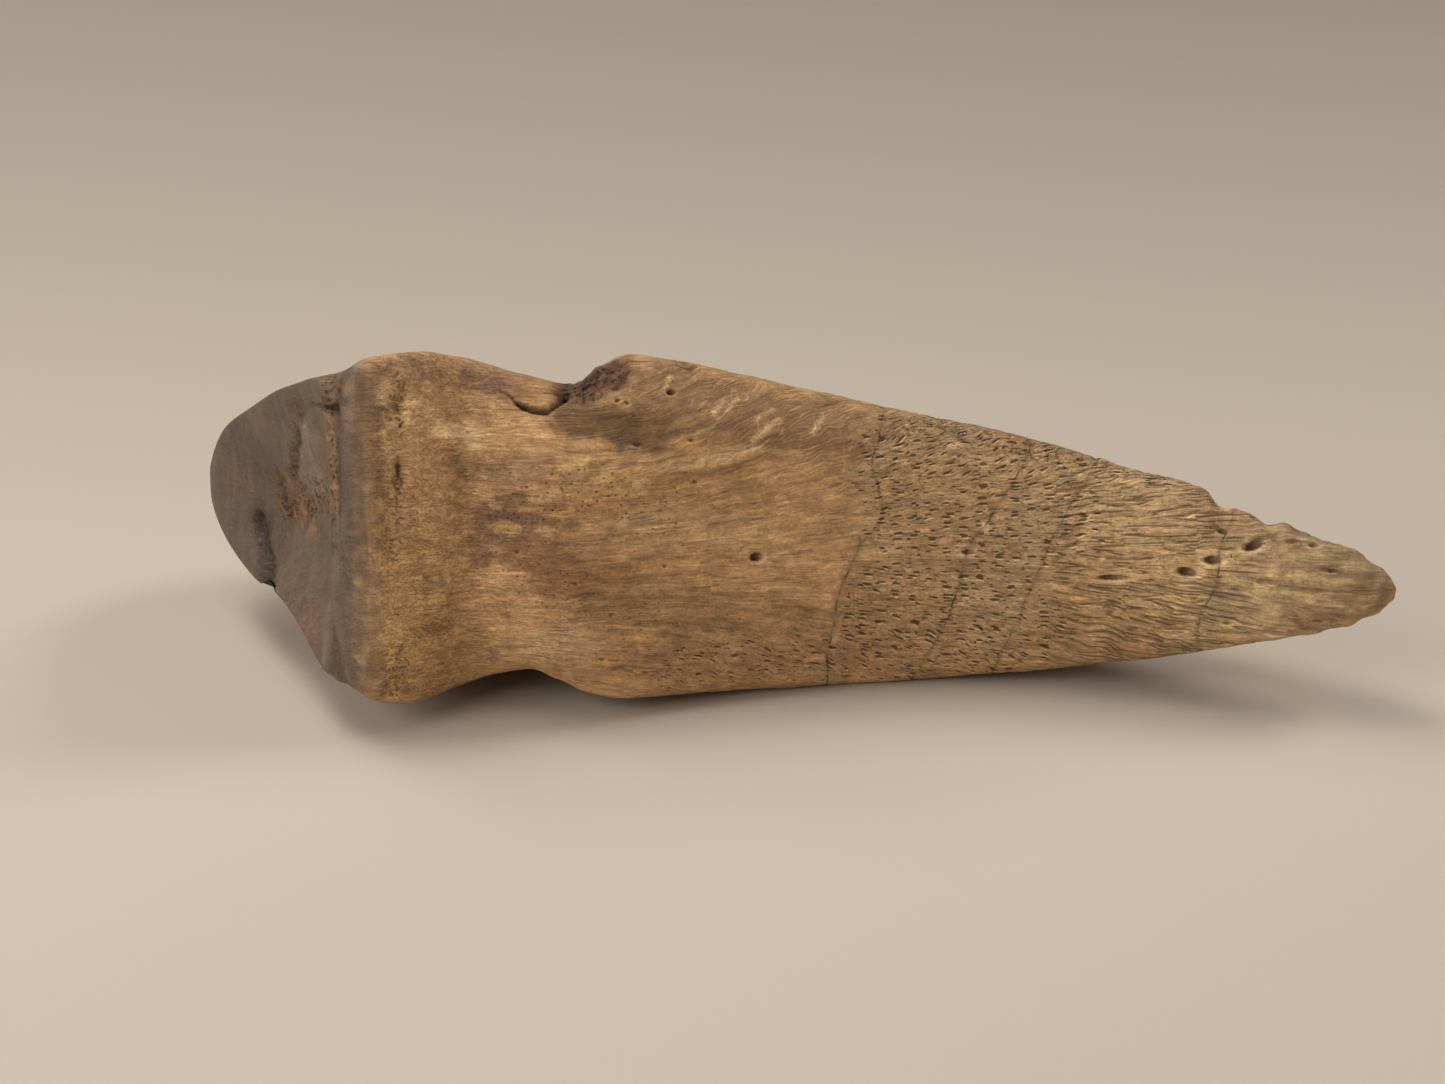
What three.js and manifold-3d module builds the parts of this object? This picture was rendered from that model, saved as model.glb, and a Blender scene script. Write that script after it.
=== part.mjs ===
// A fossil tyrannosaur claw, the bone core of a toe claw, lying on its side.
// One closed solid in millimetres, +Z up. The long axis runs along +X with the point at +X,
// the flat underside of the claw faces -Y and leans back, and the left flank lies on z = 0.
//
// The claw is first shaped upright, in its own axes: x runs from the joint end to the point,
// y is positive towards the left flank and z is positive towards the back of the claw.
import * as THREE from "three";
import { mergeVertices } from "three/addons/utils/BufferGeometryUtils.js";
import Module from "manifold-3d";

// ---- Driving dimensions, millimetres and degrees ----

const LENGTH = 140; // from the overhanging lip of the joint to the point
const JOINT_OVERHANG = 21; // how far the lip stands out beyond the lower rim of the joint
const JOINT_HEIGHT = 34; // from the lower rim of the joint up to the lip
const JOINT_HOLLOW = 4.4; // depth of the hollow that took the toe bone
const TIP_LENGTH = 6; // the stretch over which the point rounds off

const ROLL = -104.7; // turned about its long axis on to the left flank
const PITCH = 0.1; // point down (+) or up (-) as it rests
const WEAR_DEPTH = 0.35; // how much the resting spots are worn flat

// ---- Outlines along the claw: [x, value] ----

const LEFT_EDGE = [
  [0, 11.2], [7.5, 12.2], [11, 11.2], [14, 12.2], [17, 14.6], [21, 17.2], [25, 19.2],
  [29, 19.8], [33, 18.8], [38, 17.2], [41.5, 16.6], [44.5, 17.6], [48, 19.1], [52, 19.8],
  [78, 19.9], [87, 19.3], [97, 18.4], [106, 17.2], [116, 15.4], [126, 13.1], [132, 11.5],
  [136, 10.4], [140, 9.8],
];
const RIGHT_EDGE = [
  [0, 13.4], [4, 14.6], [10, 15.8], [16, 16.9], [21.5, 18.2], [24, 19.6], [29, 20.1], [33, 19.3],
  [41, 17.3], [45.5, 16.5], [50, 18.6], [53, 19.6], [58, 18.9], [66, 16.9], [76, 14.4],
  [85, 12.3], [97, 9.9], [109, 6.7], [118.5, 4.1], [120.3, 2.2], [123.3, 1.7], [125.4, 0.5],
  [127, 0.8], [130, -0.5], [136, -2.7], [140, -4.2],
];
const UNDERSIDE = [
  [0, 4], [19, 2], [21.5, 0.6], [24, -0.2], [27, 0.5], [31, 2.4], [35, 3.8], [39.5, 3.5],
  [46, 2.8], [52, 3.4], [60, 5.8], [70, 8.8], [80, 10.9], [89, 11.4], [99, 10.8],
  [109, 9.2], [119, 7], [129, 4.8], [135, 3.8], [140, 3.8],
];
const BACK = [
  [0, 35], [3, 38.5], [8, 41.5], [16, 44], [28, 45], [42, 44.8], [56, 44], [70, 41.8],
  [84, 37.5], [98, 31.5], [112, 24.2], [124, 17.6], [133, 12.6], [140, 9.5],
];
const FLANGE_THICKNESS = [
  [0, 4.5], [17.5, 3.5], [26, 4.6], [34, 6.6], [41, 6.4], [48, 5.3], [78, 5.2], [92, 4.8],
  [110, 4], [125, 3.2], [140, 2.6],
];
const UNDERSIDE_SQUARENESS = [
  [0, 3.2], [24, 3.4], [30, 2.8], [36, 2.3], [43, 2.4], [52, 3], [90, 2.8], [120, 2.4],
  [140, 2.1],
];
const FLANK_TAPER = [
  [0, 0.62], [8, 0.58], [14, 0.48], [22, 0.3], [30, 0.26], [44, 0.4], [60, 0.39],
  [78, 0.39], [95, 0.41], [115, 0.4], [130, 0.32], [140, 0.2],
];
const GROOVE_DEPTH = [
  [0, 0], [24, 0], [34, 2], [45, 2.6], [60, 2.2], [90, 1.7], [116, 1], [126, 0.3], [140, 0],
];

// ---- The cross-section ----

const MOST_FLANGE_SHARE = 0.4; // a flange is at most this share of the claw's height
const BACK_ROUNDNESS = 6; // the power with which the back rounds over: more is blunter
const GROOVE_RISE = 5; // how high over the flange the flank's groove runs
const GROOVE_REACH = 2.6; // half of the groove's width
const UNEVENNESS = 0.3; // how far the flanks swell and dip along their length
const SWELL_WAVES = [5.3, 9.1]; // the lengths of the two waves that make the swells
const SWELL_LEAN = [4, 5]; // how far each wave leans up the flank, in radians
const SWELL_START = 0.25; // the share of the flank over which the swells set in
const FORM_FADE = 0.32; // how far up the flank the underside's low forms still show

// ---- Low forms of the underside: [x, y, reach in x, reach in y, height] ----

const UNDERSIDE_FORMS = [
  [45, 3, 9, 11, 1.7], // the low knob where the flexor tendon pulled
  [60, -11, 8, 5, 0.7], // the swell inside the right shoulder
  [24.5, 0, 2.4, 15, 0.5], // the crest behind the joint's lower rim
  [106, 4, 22, 6, 0.5], // the crown of the pointed end
  [36, -1, 2.8, 14, -0.8], // the valley behind the crest
  [48.5, -16, 3, 3, -1.7], // the broken, spongy shoulder
  [52.5, -12.5, 4.5, 3.2, -0.8], // the hollow below it
  [120.6, -0.5, 1.8, 2.6, -0.6], // the chip at the right edge
  [138.6, 8, 1.2, 1.6, -0.6], // the nick in the point
];

// ---- Low forms of the joint's hollow: [y, z, reach in y, reach in z, height] ----

const JOINT_FORMS = [
  [0, 32, 14, 5.5, 1.5], // the swollen tongue under the lip
  [-6, 17.5, 5, 4, 1.2], // the worn plateau
];

const JOINT_MIDDLE_SHARE = 0.45; // where the hollow is deepest, as a share of its height
const JOINT_HOLLOW_POWER = 1.3; // how gently the hollow starts at its margin
const JOINT_FORM_POWER = 6; // how sharply the low forms end at the margin

// ---- Cracks in the joint: [y, z, length, width, depth, turn in degrees] ----

const JOINT_CRACKS = [
  [-5.5, 22.6, 11, 1.2, 2.6, 4], // between the tongue and the plateau
  [4.4, 25.4, 5.6, 1.6, 1.9, -8], // the step at the tongue's left end
];

// ---- Blood vessel holes in the underside: [x, y, length, width] ----

const HOLES = [
  [68, 3.2, 1.8, 1.3], [108.7, 5.9, 3.8, 0.9], [116.2, 4.9, 2.7, 1.3], [119, 3.4, 2.5, 1.3],
  [123.5, 1.5, 2.9, 1.3], [124.5, 5.6, 1.8, 1.1], [131.9, 4.4, 1.6, 0.9], [120.2, 0.2, 1.2, 0.9],
  [130.1, 1.5, 1.4, 0.8], [121, 10.8, 1.3, 0.8], [130.9, 10.2, 1.3, 0.8],
  [57.7, -15.7, 1.4, 1], [51.7, -14.9, 1, 0.8], [59.9, -10.4, 1.1, 0.8], [54.1, -10.1, 1.7, 1],
  [60.3, -5.6, 1, 0.8], [57, 3.8, 0.9, 0.8], [47.1, 5.2, 1, 0.8], [51, 9, 1.1, 0.8],
  [49.9, 14.3, 1, 0.8], [54.8, 16.3, 1.2, 0.8], [40.5, 1.7, 0.9, 0.7], [91.7, 3.3, 1.8, 1.1],
  [43.2, -14.8, 6.2, 1], // the crack under the shelf at the right shoulder
];
const HOLE_DEPTH = 1.6;
const GROUND_DEPTH = 20; // the block that wears the resting spots flat
const BONE_COLOR = 0x8f7350;

// ---- The mesh grid, and how often its equations are refined ----

const UNDERSIDE_STEPS = 13; // from the middle of the underside to a flange
const FLANK_STEPS = 9; // from a flange to the middle of the back
const BODY_RINGS = 68;
const TIP_RINGS = 6;
const JOINT_RINGS = 13;
const SETTLE_ROUNDS = 16; // rounds that find where a ring meets the slanting joint
const HALVINGS = 20; // halvings that find the station at a given width

/** A smooth curve through [x, value] pairs that doesn't overshoot them. */
function through(pairs) {
  const rise = pairs.slice(1).map(([x, v], i) => (v - pairs[i][1]) / (x - pairs[i][0]));
  const slope = pairs.map((_, i) => {
    const before = rise[Math.max(i - 1, 0)];
    const after = rise[Math.min(i, rise.length - 1)];
    return before * after <= 0 ? 0 : (2 * before * after) / (before + after);
  });
  return (x) => {
    const last = pairs.length - 2;
    let i = 0;
    while (i < last && x > pairs[i + 1][0]) i++;
    const [x0, v0] = pairs[i];
    const [x1, v1] = pairs[i + 1];
    const span = x1 - x0;
    const t = THREE.MathUtils.clamp((x - x0) / span, 0, 1);
    const ease = t * t * (3 - 2 * t);
    return (
      v0 * (1 - ease) +
      v1 * ease +
      span * t * (1 - t) * (slope[i] * (1 - t) - slope[i + 1] * t)
    );
  };
}

const outline = {
  left: through(LEFT_EDGE),
  right: through(RIGHT_EDGE),
  underside: through(UNDERSIDE),
  back: through(BACK),
  thickness: through(FLANGE_THICKNESS),
  squareness: through(UNDERSIDE_SQUARENESS),
  taper: through(FLANK_TAPER),
  groove: through(GROOVE_DEPTH),
};

/** A bump of height 1 at 0 that fades out over the given width. */
const bump = (distance, width) => Math.exp(-((distance / width) ** 2));

/** How far the joint's margin stands back from the lip, at a height above the lower rim. */
const marginAt = (height) =>
  JOINT_OVERHANG * THREE.MathUtils.clamp(1 - height / JOINT_HEIGHT, 0, 1);

/** Closes the section to nothing over the last stretch, as a round point. */
function tipRounding(x) {
  const past = THREE.MathUtils.clamp((x - (LENGTH - TIP_LENGTH)) / TIP_LENGTH, 0, 1);
  return Math.sqrt(1 - past ** 2);
}

/**
 * The point of a cross-section at x. `half` is 0 for the underside and 1 for the flank,
 * `t` runs from 0 to 1 over it, and `side` is 1 on the left and -1 on the right.
 */
function sectionPoint(x, half, t, side) {
  const left = outline.left(x);
  const right = outline.right(x);
  const middle = (left - right) / 2;
  const close = tipRounding(x);
  const reach = ((left + right) / 2) * close;
  const core = (outline.underside(x) + outline.back(x)) / 2;
  const low = core + (outline.underside(x) - core) * close;
  const high = core + (outline.back(x) - core) * close;
  const flange = low + Math.min(outline.thickness(x), (high - low) * MOST_FLANGE_SHARE);
  if (half === 0) {
    const out = (t + Math.sin((Math.PI / 2) * t)) / 2;
    const square = outline.squareness(x);
    const drop = (1 - Math.min(out, 1) ** square) ** (1 / square);
    return { y: middle + side * reach * out, z: flange - (flange - low) * drop };
  }
  const rise = Math.sin((Math.PI / 2) * t);
  const round = Math.sqrt(1 - rise ** BACK_ROUNDNESS);
  const wide = reach * (1 - outline.taper(x) * rise) * round;
  const height = (high - flange) * rise;
  const groove = outline.groove(x) * bump(height - GROOVE_RISE, GROOVE_REACH);
  const [short, long] = SWELL_WAVES;
  const [shortLean, longLean] = SWELL_LEAN;
  const waves = Math.sin(x / short + side * shortLean * rise) * Math.sin(x / long + longLean * rise);
  const swell = UNEVENNESS * waves * Math.min(rise / SWELL_START, 1) * round * close;
  return { y: middle + side * Math.max(wide - groove + swell, 0), z: flange + height };
}

/** The summed height of low forms, each a soft bump at (u, v), at a place. */
function reliefAt(forms, u, v) {
  return forms.reduce(
    (sum, [u0, v0, reachU, reachV, height]) =>
      sum + height * bump(u - u0, reachU) * bump(v - v0, reachV),
    0,
  );
}

/** A point of the body's surface, `far` of the way from the joint's margin to the point. */
function bodyPoint(far, half, t, side) {
  let x = LENGTH * far;
  let at = sectionPoint(x, half, t, side);
  for (let round = 0; round < SETTLE_ROUNDS; round++) {
    const margin = marginAt(at.z);
    x = (x + margin + (LENGTH - margin) * far) / 2;
    at = sectionPoint(x, half, t, side);
  }
  const raised = reliefAt(UNDERSIDE_FORMS, x, at.y);
  const underneath = half === 0 ? 1 : Math.max(1 - t / FORM_FADE, 0);
  return new THREE.Vector3(x, at.y, at.z - raised * underneath);
}

/** A point of the joint's hollow: `share` is 1 at its margin and 0 at its middle. */
function jointPoint(share, half, t, side) {
  const rim = bodyPoint(0, half, t, side);
  const middle = JOINT_HEIGHT * JOINT_MIDDLE_SHARE;
  const y = rim.y * share;
  const z = middle + (rim.z - middle) * share;
  const hollow = JOINT_HOLLOW * (1 - share ** 2) ** JOINT_HOLLOW_POWER;
  const raised = reliefAt(JOINT_FORMS, y, z) * (1 - share ** JOINT_FORM_POWER);
  return new THREE.Vector3(marginAt(z) + hollow - raised, y, z);
}

/** The stations round a ring: underside middle, left flank, back, right flank. */
function ringStations() {
  const stations = [];
  for (let i = 0; i < UNDERSIDE_STEPS; i++) stations.push([0, i / UNDERSIDE_STEPS, 1]);
  for (let i = 0; i < FLANK_STEPS; i++) stations.push([1, i / FLANK_STEPS, 1]);
  for (let i = FLANK_STEPS; i > 0; i--) stations.push([1, i / FLANK_STEPS, -1]);
  for (let i = UNDERSIDE_STEPS; i > 0; i--) stations.push([0, i / UNDERSIDE_STEPS, -1]);
  return stations;
}

/** How far along the body each ring stands, with closer rings round the point. */
function ringPlaces() {
  const tipStart = 1 - TIP_LENGTH / LENGTH;
  const places = [];
  for (let i = 0; i < BODY_RINGS; i++) places.push((tipStart * i) / BODY_RINGS);
  for (let i = 0; i < TIP_RINGS; i++) {
    const turn = (Math.PI / 2) * (i / TIP_RINGS);
    places.push(tipStart + (1 - tipStart) * Math.sin(turn));
  }
  return places;
}

/** Two triangles for a quad, split along its shorter diagonal. */
function quad(points, a, b, c, d) {
  const straight = points[a].distanceTo(points[c]) < points[b].distanceTo(points[d]);
  return straight ? [a, b, c, a, c, d] : [a, b, d, b, c, d];
}

/** The whole surface as rings from the middle of the joint to the point. */
function clawGeometry() {
  const stations = ringStations();
  const count = stations.length;
  const rings = [];
  for (let i = 1; i < JOINT_RINGS; i++) {
    const share = i / JOINT_RINGS;
    rings.push(stations.map(([half, t, side]) => jointPoint(share, half, t, side)));
  }
  for (const far of ringPlaces()) {
    rings.push(stations.map(([half, t, side]) => bodyPoint(far, half, t, side)));
  }
  const points = rings.flat();
  const index = [];
  for (let r = 0; r + 1 < rings.length; r++) {
    for (let i = 0; i < count; i++) {
      const a = r * count + i;
      const b = r * count + ((i + 1) % count);
      index.push(...quad(points, a, b, b + count, a + count));
    }
  }
  const jointMiddle = points.push(jointPoint(0, 0, 0, 1)) - 1;
  const tip = points.push(bodyPoint(1, 0, 0, 1)) - 1;
  const lastRing = (rings.length - 1) * count;
  for (let i = 0; i < count; i++) {
    const next = (i + 1) % count;
    index.push(jointMiddle, next, i);
    index.push(tip, lastRing + i, lastRing + next);
  }
  return new THREE.BufferGeometry().setFromPoints(points).setIndex(index);
}

const wasm = await Module();
wasm.setup();

/** A closed three.js geometry as a manifold solid. */
function solidOf(geometry) {
  const bare = geometry.clone();
  bare.deleteAttribute("normal");
  bare.deleteAttribute("uv");
  const merged = mergeVertices(bare, 1e-4);
  return new wasm.Manifold(
    new wasm.Mesh({
      numProp: 3,
      vertProperties: new Float32Array(merged.attributes.position.array),
      triVerts: new Uint32Array(merged.index.array),
    }),
  );
}

/** A manifold solid as a three.js geometry. */
function geometryOf(solid) {
  const { vertProperties, triVerts } = solid.getMesh();
  const geometry = new THREE.BufferGeometry();
  geometry.setAttribute("position", new THREE.BufferAttribute(vertProperties, 3));
  geometry.setIndex(new THREE.BufferAttribute(triVerts, 1));
  geometry.computeVertexNormals();
  return geometry;
}

/** The height of the underside at a place inside its outline. */
function undersideAt(x, y) {
  const side = y > (outline.left(x) - outline.right(x)) / 2 ? 1 : -1;
  let near = 0;
  let far = 1;
  for (let halving = 0; halving < HALVINGS; halving++) {
    const t = (near + far) / 2;
    if ((sectionPoint(x, 0, t, side).y - y) * side < 0) near = t;
    else far = t;
  }
  return sectionPoint(x, 0, near, side).z - reliefAt(UNDERSIDE_FORMS, x, y);
}

/** A vessel hole's cutter: a faceted ball, stretched along the claw. */
function holeCutter([x, y, length, width]) {
  return new THREE.OctahedronGeometry(0.5, 1)
    .scale(length, width, 2 * HOLE_DEPTH)
    .translate(x, y, undersideAt(x, y));
}

/** A joint crack's cutter: a long thin ball across the hollow. */
function crackCutter([y, z, length, width, depth, turn]) {
  return new THREE.OctahedronGeometry(0.5, 1)
    .scale(2 * depth, length, width)
    .rotateX(THREE.MathUtils.degToRad(turn))
    .translate(marginAt(z) + JOINT_HOLLOW / 2, y, z);
}

/** Lays the claw on its flank with its lowest spots worn flat on z = 0. */
function restingGeometry() {
  const turn = new THREE.Matrix4().makeRotationFromEuler(
    new THREE.Euler(
      THREE.MathUtils.degToRad(ROLL),
      THREE.MathUtils.degToRad(PITCH),
      0,
      "ZYX",
    ),
  );
  const cutters = [...HOLES.map(holeCutter), ...JOINT_CRACKS.map(crackCutter)];
  const pierced = cutters.reduce(
    (solid, cutter) => solid.subtract(solidOf(cutter)),
    solidOf(clawGeometry()),
  );
  const laid = geometryOf(pierced).applyMatrix4(turn);
  laid.computeBoundingBox();
  const { min, max } = laid.boundingBox;
  laid.translate(-(min.x + max.x) / 2, -(min.y + max.y) / 2, -min.z - WEAR_DEPTH);
  const ground = new THREE.BoxGeometry(2 * LENGTH, LENGTH, GROUND_DEPTH);
  ground.translate(0, 0, -GROUND_DEPTH / 2);
  return geometryOf(solidOf(laid).subtract(solidOf(ground)));
}

const bone = new THREE.MeshStandardMaterial({
  color: BONE_COLOR,
  roughness: 0.62,
  metalness: 0,
});

const claw = new THREE.Mesh(restingGeometry(), bone);
claw.name = "claw";

const model = new THREE.Group();
model.add(claw);

export default model;
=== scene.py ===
"""Dresses a fossil tyrannosaur claw: its bone surface, its finish, a floor, lights and a camera.

The claw is shaped in its own axes, in millimetres: x runs from the joint's lip to the point,
y is positive towards the left flank and z is positive towards the back of the claw. Then it is
laid on its left flank, as it rests, and every vertex goes to metres in the frame's own axes.
"""
import functools
import itertools
import logging
import math
from dataclasses import dataclass, field
from enum import Enum
from typing import Any, Union

import bpy
import numpy as np
from mathutils import Matrix, Vector


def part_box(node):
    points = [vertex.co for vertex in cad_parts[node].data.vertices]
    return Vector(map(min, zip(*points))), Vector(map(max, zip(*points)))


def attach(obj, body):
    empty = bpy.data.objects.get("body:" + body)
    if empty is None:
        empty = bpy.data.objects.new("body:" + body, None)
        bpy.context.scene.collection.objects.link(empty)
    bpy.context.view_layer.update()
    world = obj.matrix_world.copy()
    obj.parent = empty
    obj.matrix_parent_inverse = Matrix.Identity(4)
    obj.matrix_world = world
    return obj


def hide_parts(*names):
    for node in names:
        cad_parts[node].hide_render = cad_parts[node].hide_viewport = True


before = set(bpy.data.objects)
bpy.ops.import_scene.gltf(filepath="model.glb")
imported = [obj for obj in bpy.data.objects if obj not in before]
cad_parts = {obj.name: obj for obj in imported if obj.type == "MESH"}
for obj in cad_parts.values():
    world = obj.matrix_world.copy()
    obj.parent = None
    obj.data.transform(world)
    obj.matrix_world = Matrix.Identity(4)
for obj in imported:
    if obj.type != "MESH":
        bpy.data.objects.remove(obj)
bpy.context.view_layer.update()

LOG = logging.getLogger("claw")
MM = 0.001
Array = np.ndarray
Pairs = tuple[tuple[float, float], ...]
Point = tuple[float, float, float]
Tint = tuple[int, int, int]
Socket = Any
Sockets = dict[str, Socket]
GREY: Point = (0.5, 0.5, 0.5)  # the middle of a coloured noise
FAR = 9.0  # millimetres, past the reach of any crack


# ---------------------------------------------------------------- smooth lines and random grain


@dataclass(frozen=True)
class Profile:
    """A smooth line through (place, value) pairs that doesn't overshoot them."""

    pairs: Pairs

    def at(self, places: Array) -> Array:
        """Reads the line.

        Args:
            places: where to read it, in the first number of the pairs.

        Returns:
            The value at each place; past the ends it stays at the end's value.
        """
        knots, values = np.array(self.pairs, float).T
        rise = np.diff(values) / np.diff(knots)
        before = np.concatenate([rise[:1], rise])
        after = np.concatenate([rise, rise[-1:]])
        agree = before * after > 0
        total = np.where(agree, before + after, 1.0)
        slope = np.where(agree, 2 * before * after / total, 0.0)
        i = np.searchsorted(knots[1:-1], places, side="left")
        span = knots[i + 1] - knots[i]
        t = np.clip((places - knots[i]) / span, 0, 1)
        ease = t * t * (3 - 2 * t)
        sway = span * t * (1 - t) * (slope[i] * (1 - t) - slope[i + 1] * t)
        return values[i] * (1 - ease) + values[i + 1] * ease + sway


def bump(distance: Array, width: float) -> Array:
    """A bump of height 1 at 0 that fades out over the given width."""
    return np.exp(-((distance / width) ** 2))


def step(low: float, high: float, values: Array) -> Array:
    """Rises smoothly from 0 at low to 1 at high, or falls where low is above high."""
    t = np.clip((values - low) / (high - low), 0, 1)
    return t * t * (3 - 2 * t)


SEED_SHIFT = 17.31  # how far one seed's pattern lies from the next
AXIS_FACTORS = (73856093, 19349663, 83492791)  # large odd numbers that mix a cell's place
SEED_FACTOR = 2654435
SCRAMBLES = ((13, 1274126177), (15, 1103515245))  # a shift and a factor for each round
LARGEST = 0x7FFFFFFF


def grain(points: Array, size: Array, seed: int) -> Array:
    """Smooth random values over space, from mixed whole numbers at the corners of cells.

    Args:
        points: places, one row each.
        size: the size of one grain on each axis.
        seed: picks the pattern.

    Returns:
        A value from -1 to 1 for each place.
    """
    at = points / size + seed * SEED_SHIFT
    cell = np.floor(at).astype(np.int64)
    part = at - cell
    ease = part * part * (3 - 2 * part)
    total = np.zeros(len(points))
    for corner in itertools.product((0, 1), repeat=3):
        mixed = np.full(len(points), seed * SEED_FACTOR)
        for whole, factor in zip((cell + np.array(corner)).T, AXIS_FACTORS):
            mixed = mixed ^ (whole * factor)
        for shift, factor in SCRAMBLES:
            mixed = ((mixed ^ (mixed >> shift)) * factor) & LARGEST
        weight = np.prod(np.where(corner, ease, 1 - ease), axis=1)
        total += weight * (mixed / (LARGEST // 2) - 1)
    return total


@dataclass(frozen=True)
class Pattern:
    """Smooth grain with finer, weaker grain laid over it.

    The size of its coarsest grain is one number or one for each axis.
    """

    amount: float
    size: Union[float, Point]
    seed: int
    layers: int = 3

    def at(self, points: Array) -> Array:
        """Reads the pattern.

        Args:
            points: places, one row each.

        Returns:
            A value from -amount to amount for each place.
        """
        sizes = np.asarray(self.size, float)
        total = np.zeros(len(points))
        for layer in range(self.layers):
            total += grain(points, sizes / 2**layer, self.seed + layer) * 0.5**layer
        return self.amount * (total / (2 - 0.5 ** (self.layers - 1)))


# ---------------------------------------------------------------- the claw's form


@dataclass(frozen=True)
class Swell:
    """A low form: a soft bump or dip with its middle at (u, v)."""

    u: float
    v: float
    reach_u: float
    reach_v: float
    height: float

    def at(self, u: Array, v: Array) -> Array:
        """Its height at places (u, v)."""
        return self.height * bump(u - self.u, self.reach_u) * bump(v - self.v, self.reach_v)


@dataclass(frozen=True)
class Stations:
    """Where each vertex stands on the surface grid.

    `joint` is True on the joint's face. `far` is the share of the way from the joint's margin
    to the point, or on the joint's face from its middle to its margin. `flank` is True above
    the flange, `turn` runs from 0 to 1 over the underside or the flank, and `side` is 1 on the
    left and -1 on the right.
    """

    joint: Array
    far: Array
    flank: Array
    turn: Array
    side: Array


@dataclass
class ClawForm:
    """The claw's main form, the same as the solid's, on a finer grid."""

    length: float = 140
    joint_overhang: float = 21
    joint_height: float = 34
    joint_hollow: float = 4.4
    joint_middle: float = 0.45
    tip_length: float = 6
    roll: float = -104.7
    pitch: float = 0.1
    flange_share: float = 0.4  # the most of the height that the flange below the groove takes
    groove_height: float = 5.0
    groove_width: float = 2.6
    unevenness: float = 0.3
    wave_lengths: tuple[float, float] = (5.3, 9.1)
    wave_turns: tuple[float, float] = (4, 5)
    hollow_power: float = 1.3
    left: Profile = Profile((
        (0, 11.2), (7.5, 12.2), (11, 11.2), (14, 12.2), (17, 14.6), (21, 17.2), (25, 19.2),
        (29, 19.8), (33, 18.8), (38, 17.2), (41.5, 16.6), (44.5, 17.6), (48, 19.1), (52, 19.8),
        (78, 19.9), (87, 19.3), (97, 18.4), (106, 17.2), (116, 15.4), (126, 13.1), (132, 11.5),
        (136, 10.4), (140, 9.8),
    ))
    right: Profile = Profile((
        (0, 13.4), (4, 14.6), (10, 15.8), (16, 16.9), (21.5, 18.2), (24, 19.6), (29, 20.1),
        (33, 19.3), (41, 17.3), (45.5, 16.5), (50, 18.6), (53, 19.6), (58, 18.9), (66, 16.9),
        (76, 14.4), (85, 12.3), (97, 9.9), (109, 6.7), (118.5, 4.1), (120.3, 2.2), (123.3, 1.7),
        (125.4, 0.5), (127, 0.8), (130, -0.5), (136, -2.7), (140, -4.2),
    ))
    underside: Profile = Profile((
        (0, 4), (19, 2), (21.5, 0.6), (24, -0.2), (27, 0.5), (31, 2.4), (35, 3.8), (39.5, 3.5),
        (46, 2.8), (52, 3.4), (60, 5.8), (70, 8.8), (80, 10.9), (89, 11.4), (99, 10.8),
        (109, 9.2), (119, 7), (129, 4.8), (135, 3.8), (140, 3.8),
    ))
    back: Profile = Profile((
        (0, 35), (3, 38.5), (8, 41.5), (16, 44), (28, 45), (42, 44.8), (56, 44), (70, 41.8),
        (84, 37.5), (98, 31.5), (112, 24.2), (124, 17.6), (133, 12.6), (140, 9.5),
    ))
    thickness: Profile = Profile((
        (0, 4.5), (17.5, 3.5), (26, 4.6), (34, 6.6), (41, 6.4), (48, 5.3), (78, 5.2),
        (92, 4.8), (110, 4), (125, 3.2), (140, 2.6),
    ))
    squareness: Profile = Profile((
        (0, 3.2), (24, 3.4), (30, 2.8), (36, 2.3), (43, 2.4), (52, 3), (90, 2.8), (120, 2.4),
        (140, 2.1),
    ))
    taper: Profile = Profile((
        (0, 0.62), (8, 0.58), (14, 0.48), (22, 0.3), (30, 0.26), (44, 0.4), (60, 0.39),
        (78, 0.39), (95, 0.41), (115, 0.4), (130, 0.32), (140, 0.2),
    ))
    groove: Profile = Profile((
        (0, 0), (24, 0), (34, 2), (45, 2.6), (60, 2.2), (90, 1.7), (116, 1), (126, 0.3),
        (140, 0),
    ))
    underside_forms: tuple[Swell, ...] = (
        Swell(45, 3, 9, 11, 1.7),  # the low knob where the flexor tendon pulled
        Swell(60, -11, 8, 5, 0.7),  # the swell inside the right shoulder
        Swell(24.5, 0, 2.4, 15, 0.5),  # the crest behind the joint's lower rim
        Swell(106, 4, 22, 6, 0.5),  # the crown of the pointed end
        Swell(36, -1, 2.8, 14, -0.8),  # the valley behind the crest
        Swell(48.5, -16, 3, 3, -1.7),  # the broken, spongy shoulder
        Swell(52.5, -12.5, 4.5, 3.2, -0.8),  # the hollow below it
        Swell(120.6, -0.5, 1.8, 2.6, -0.6),  # the chip at the right edge
        Swell(138.6, 8, 1.2, 1.6, -0.6),  # the nick in the point
    )
    joint_forms: tuple[Swell, ...] = (
        Swell(0, 32, 14, 5.5, 1.5),  # the swollen tongue under the lip
        Swell(-6, 17.5, 5, 4, 1.2),  # the worn plateau
    )
    settle_rounds: int = 16
    flank_fade: float = 0.32  # how far up the flank the underside's low forms still show

    def margin(self, height: Array) -> Array:
        """How far the joint's margin stands back from the lip, at a height above its rim."""
        return self.joint_overhang * np.clip(1 - height / self.joint_height, 0, 1)

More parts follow.
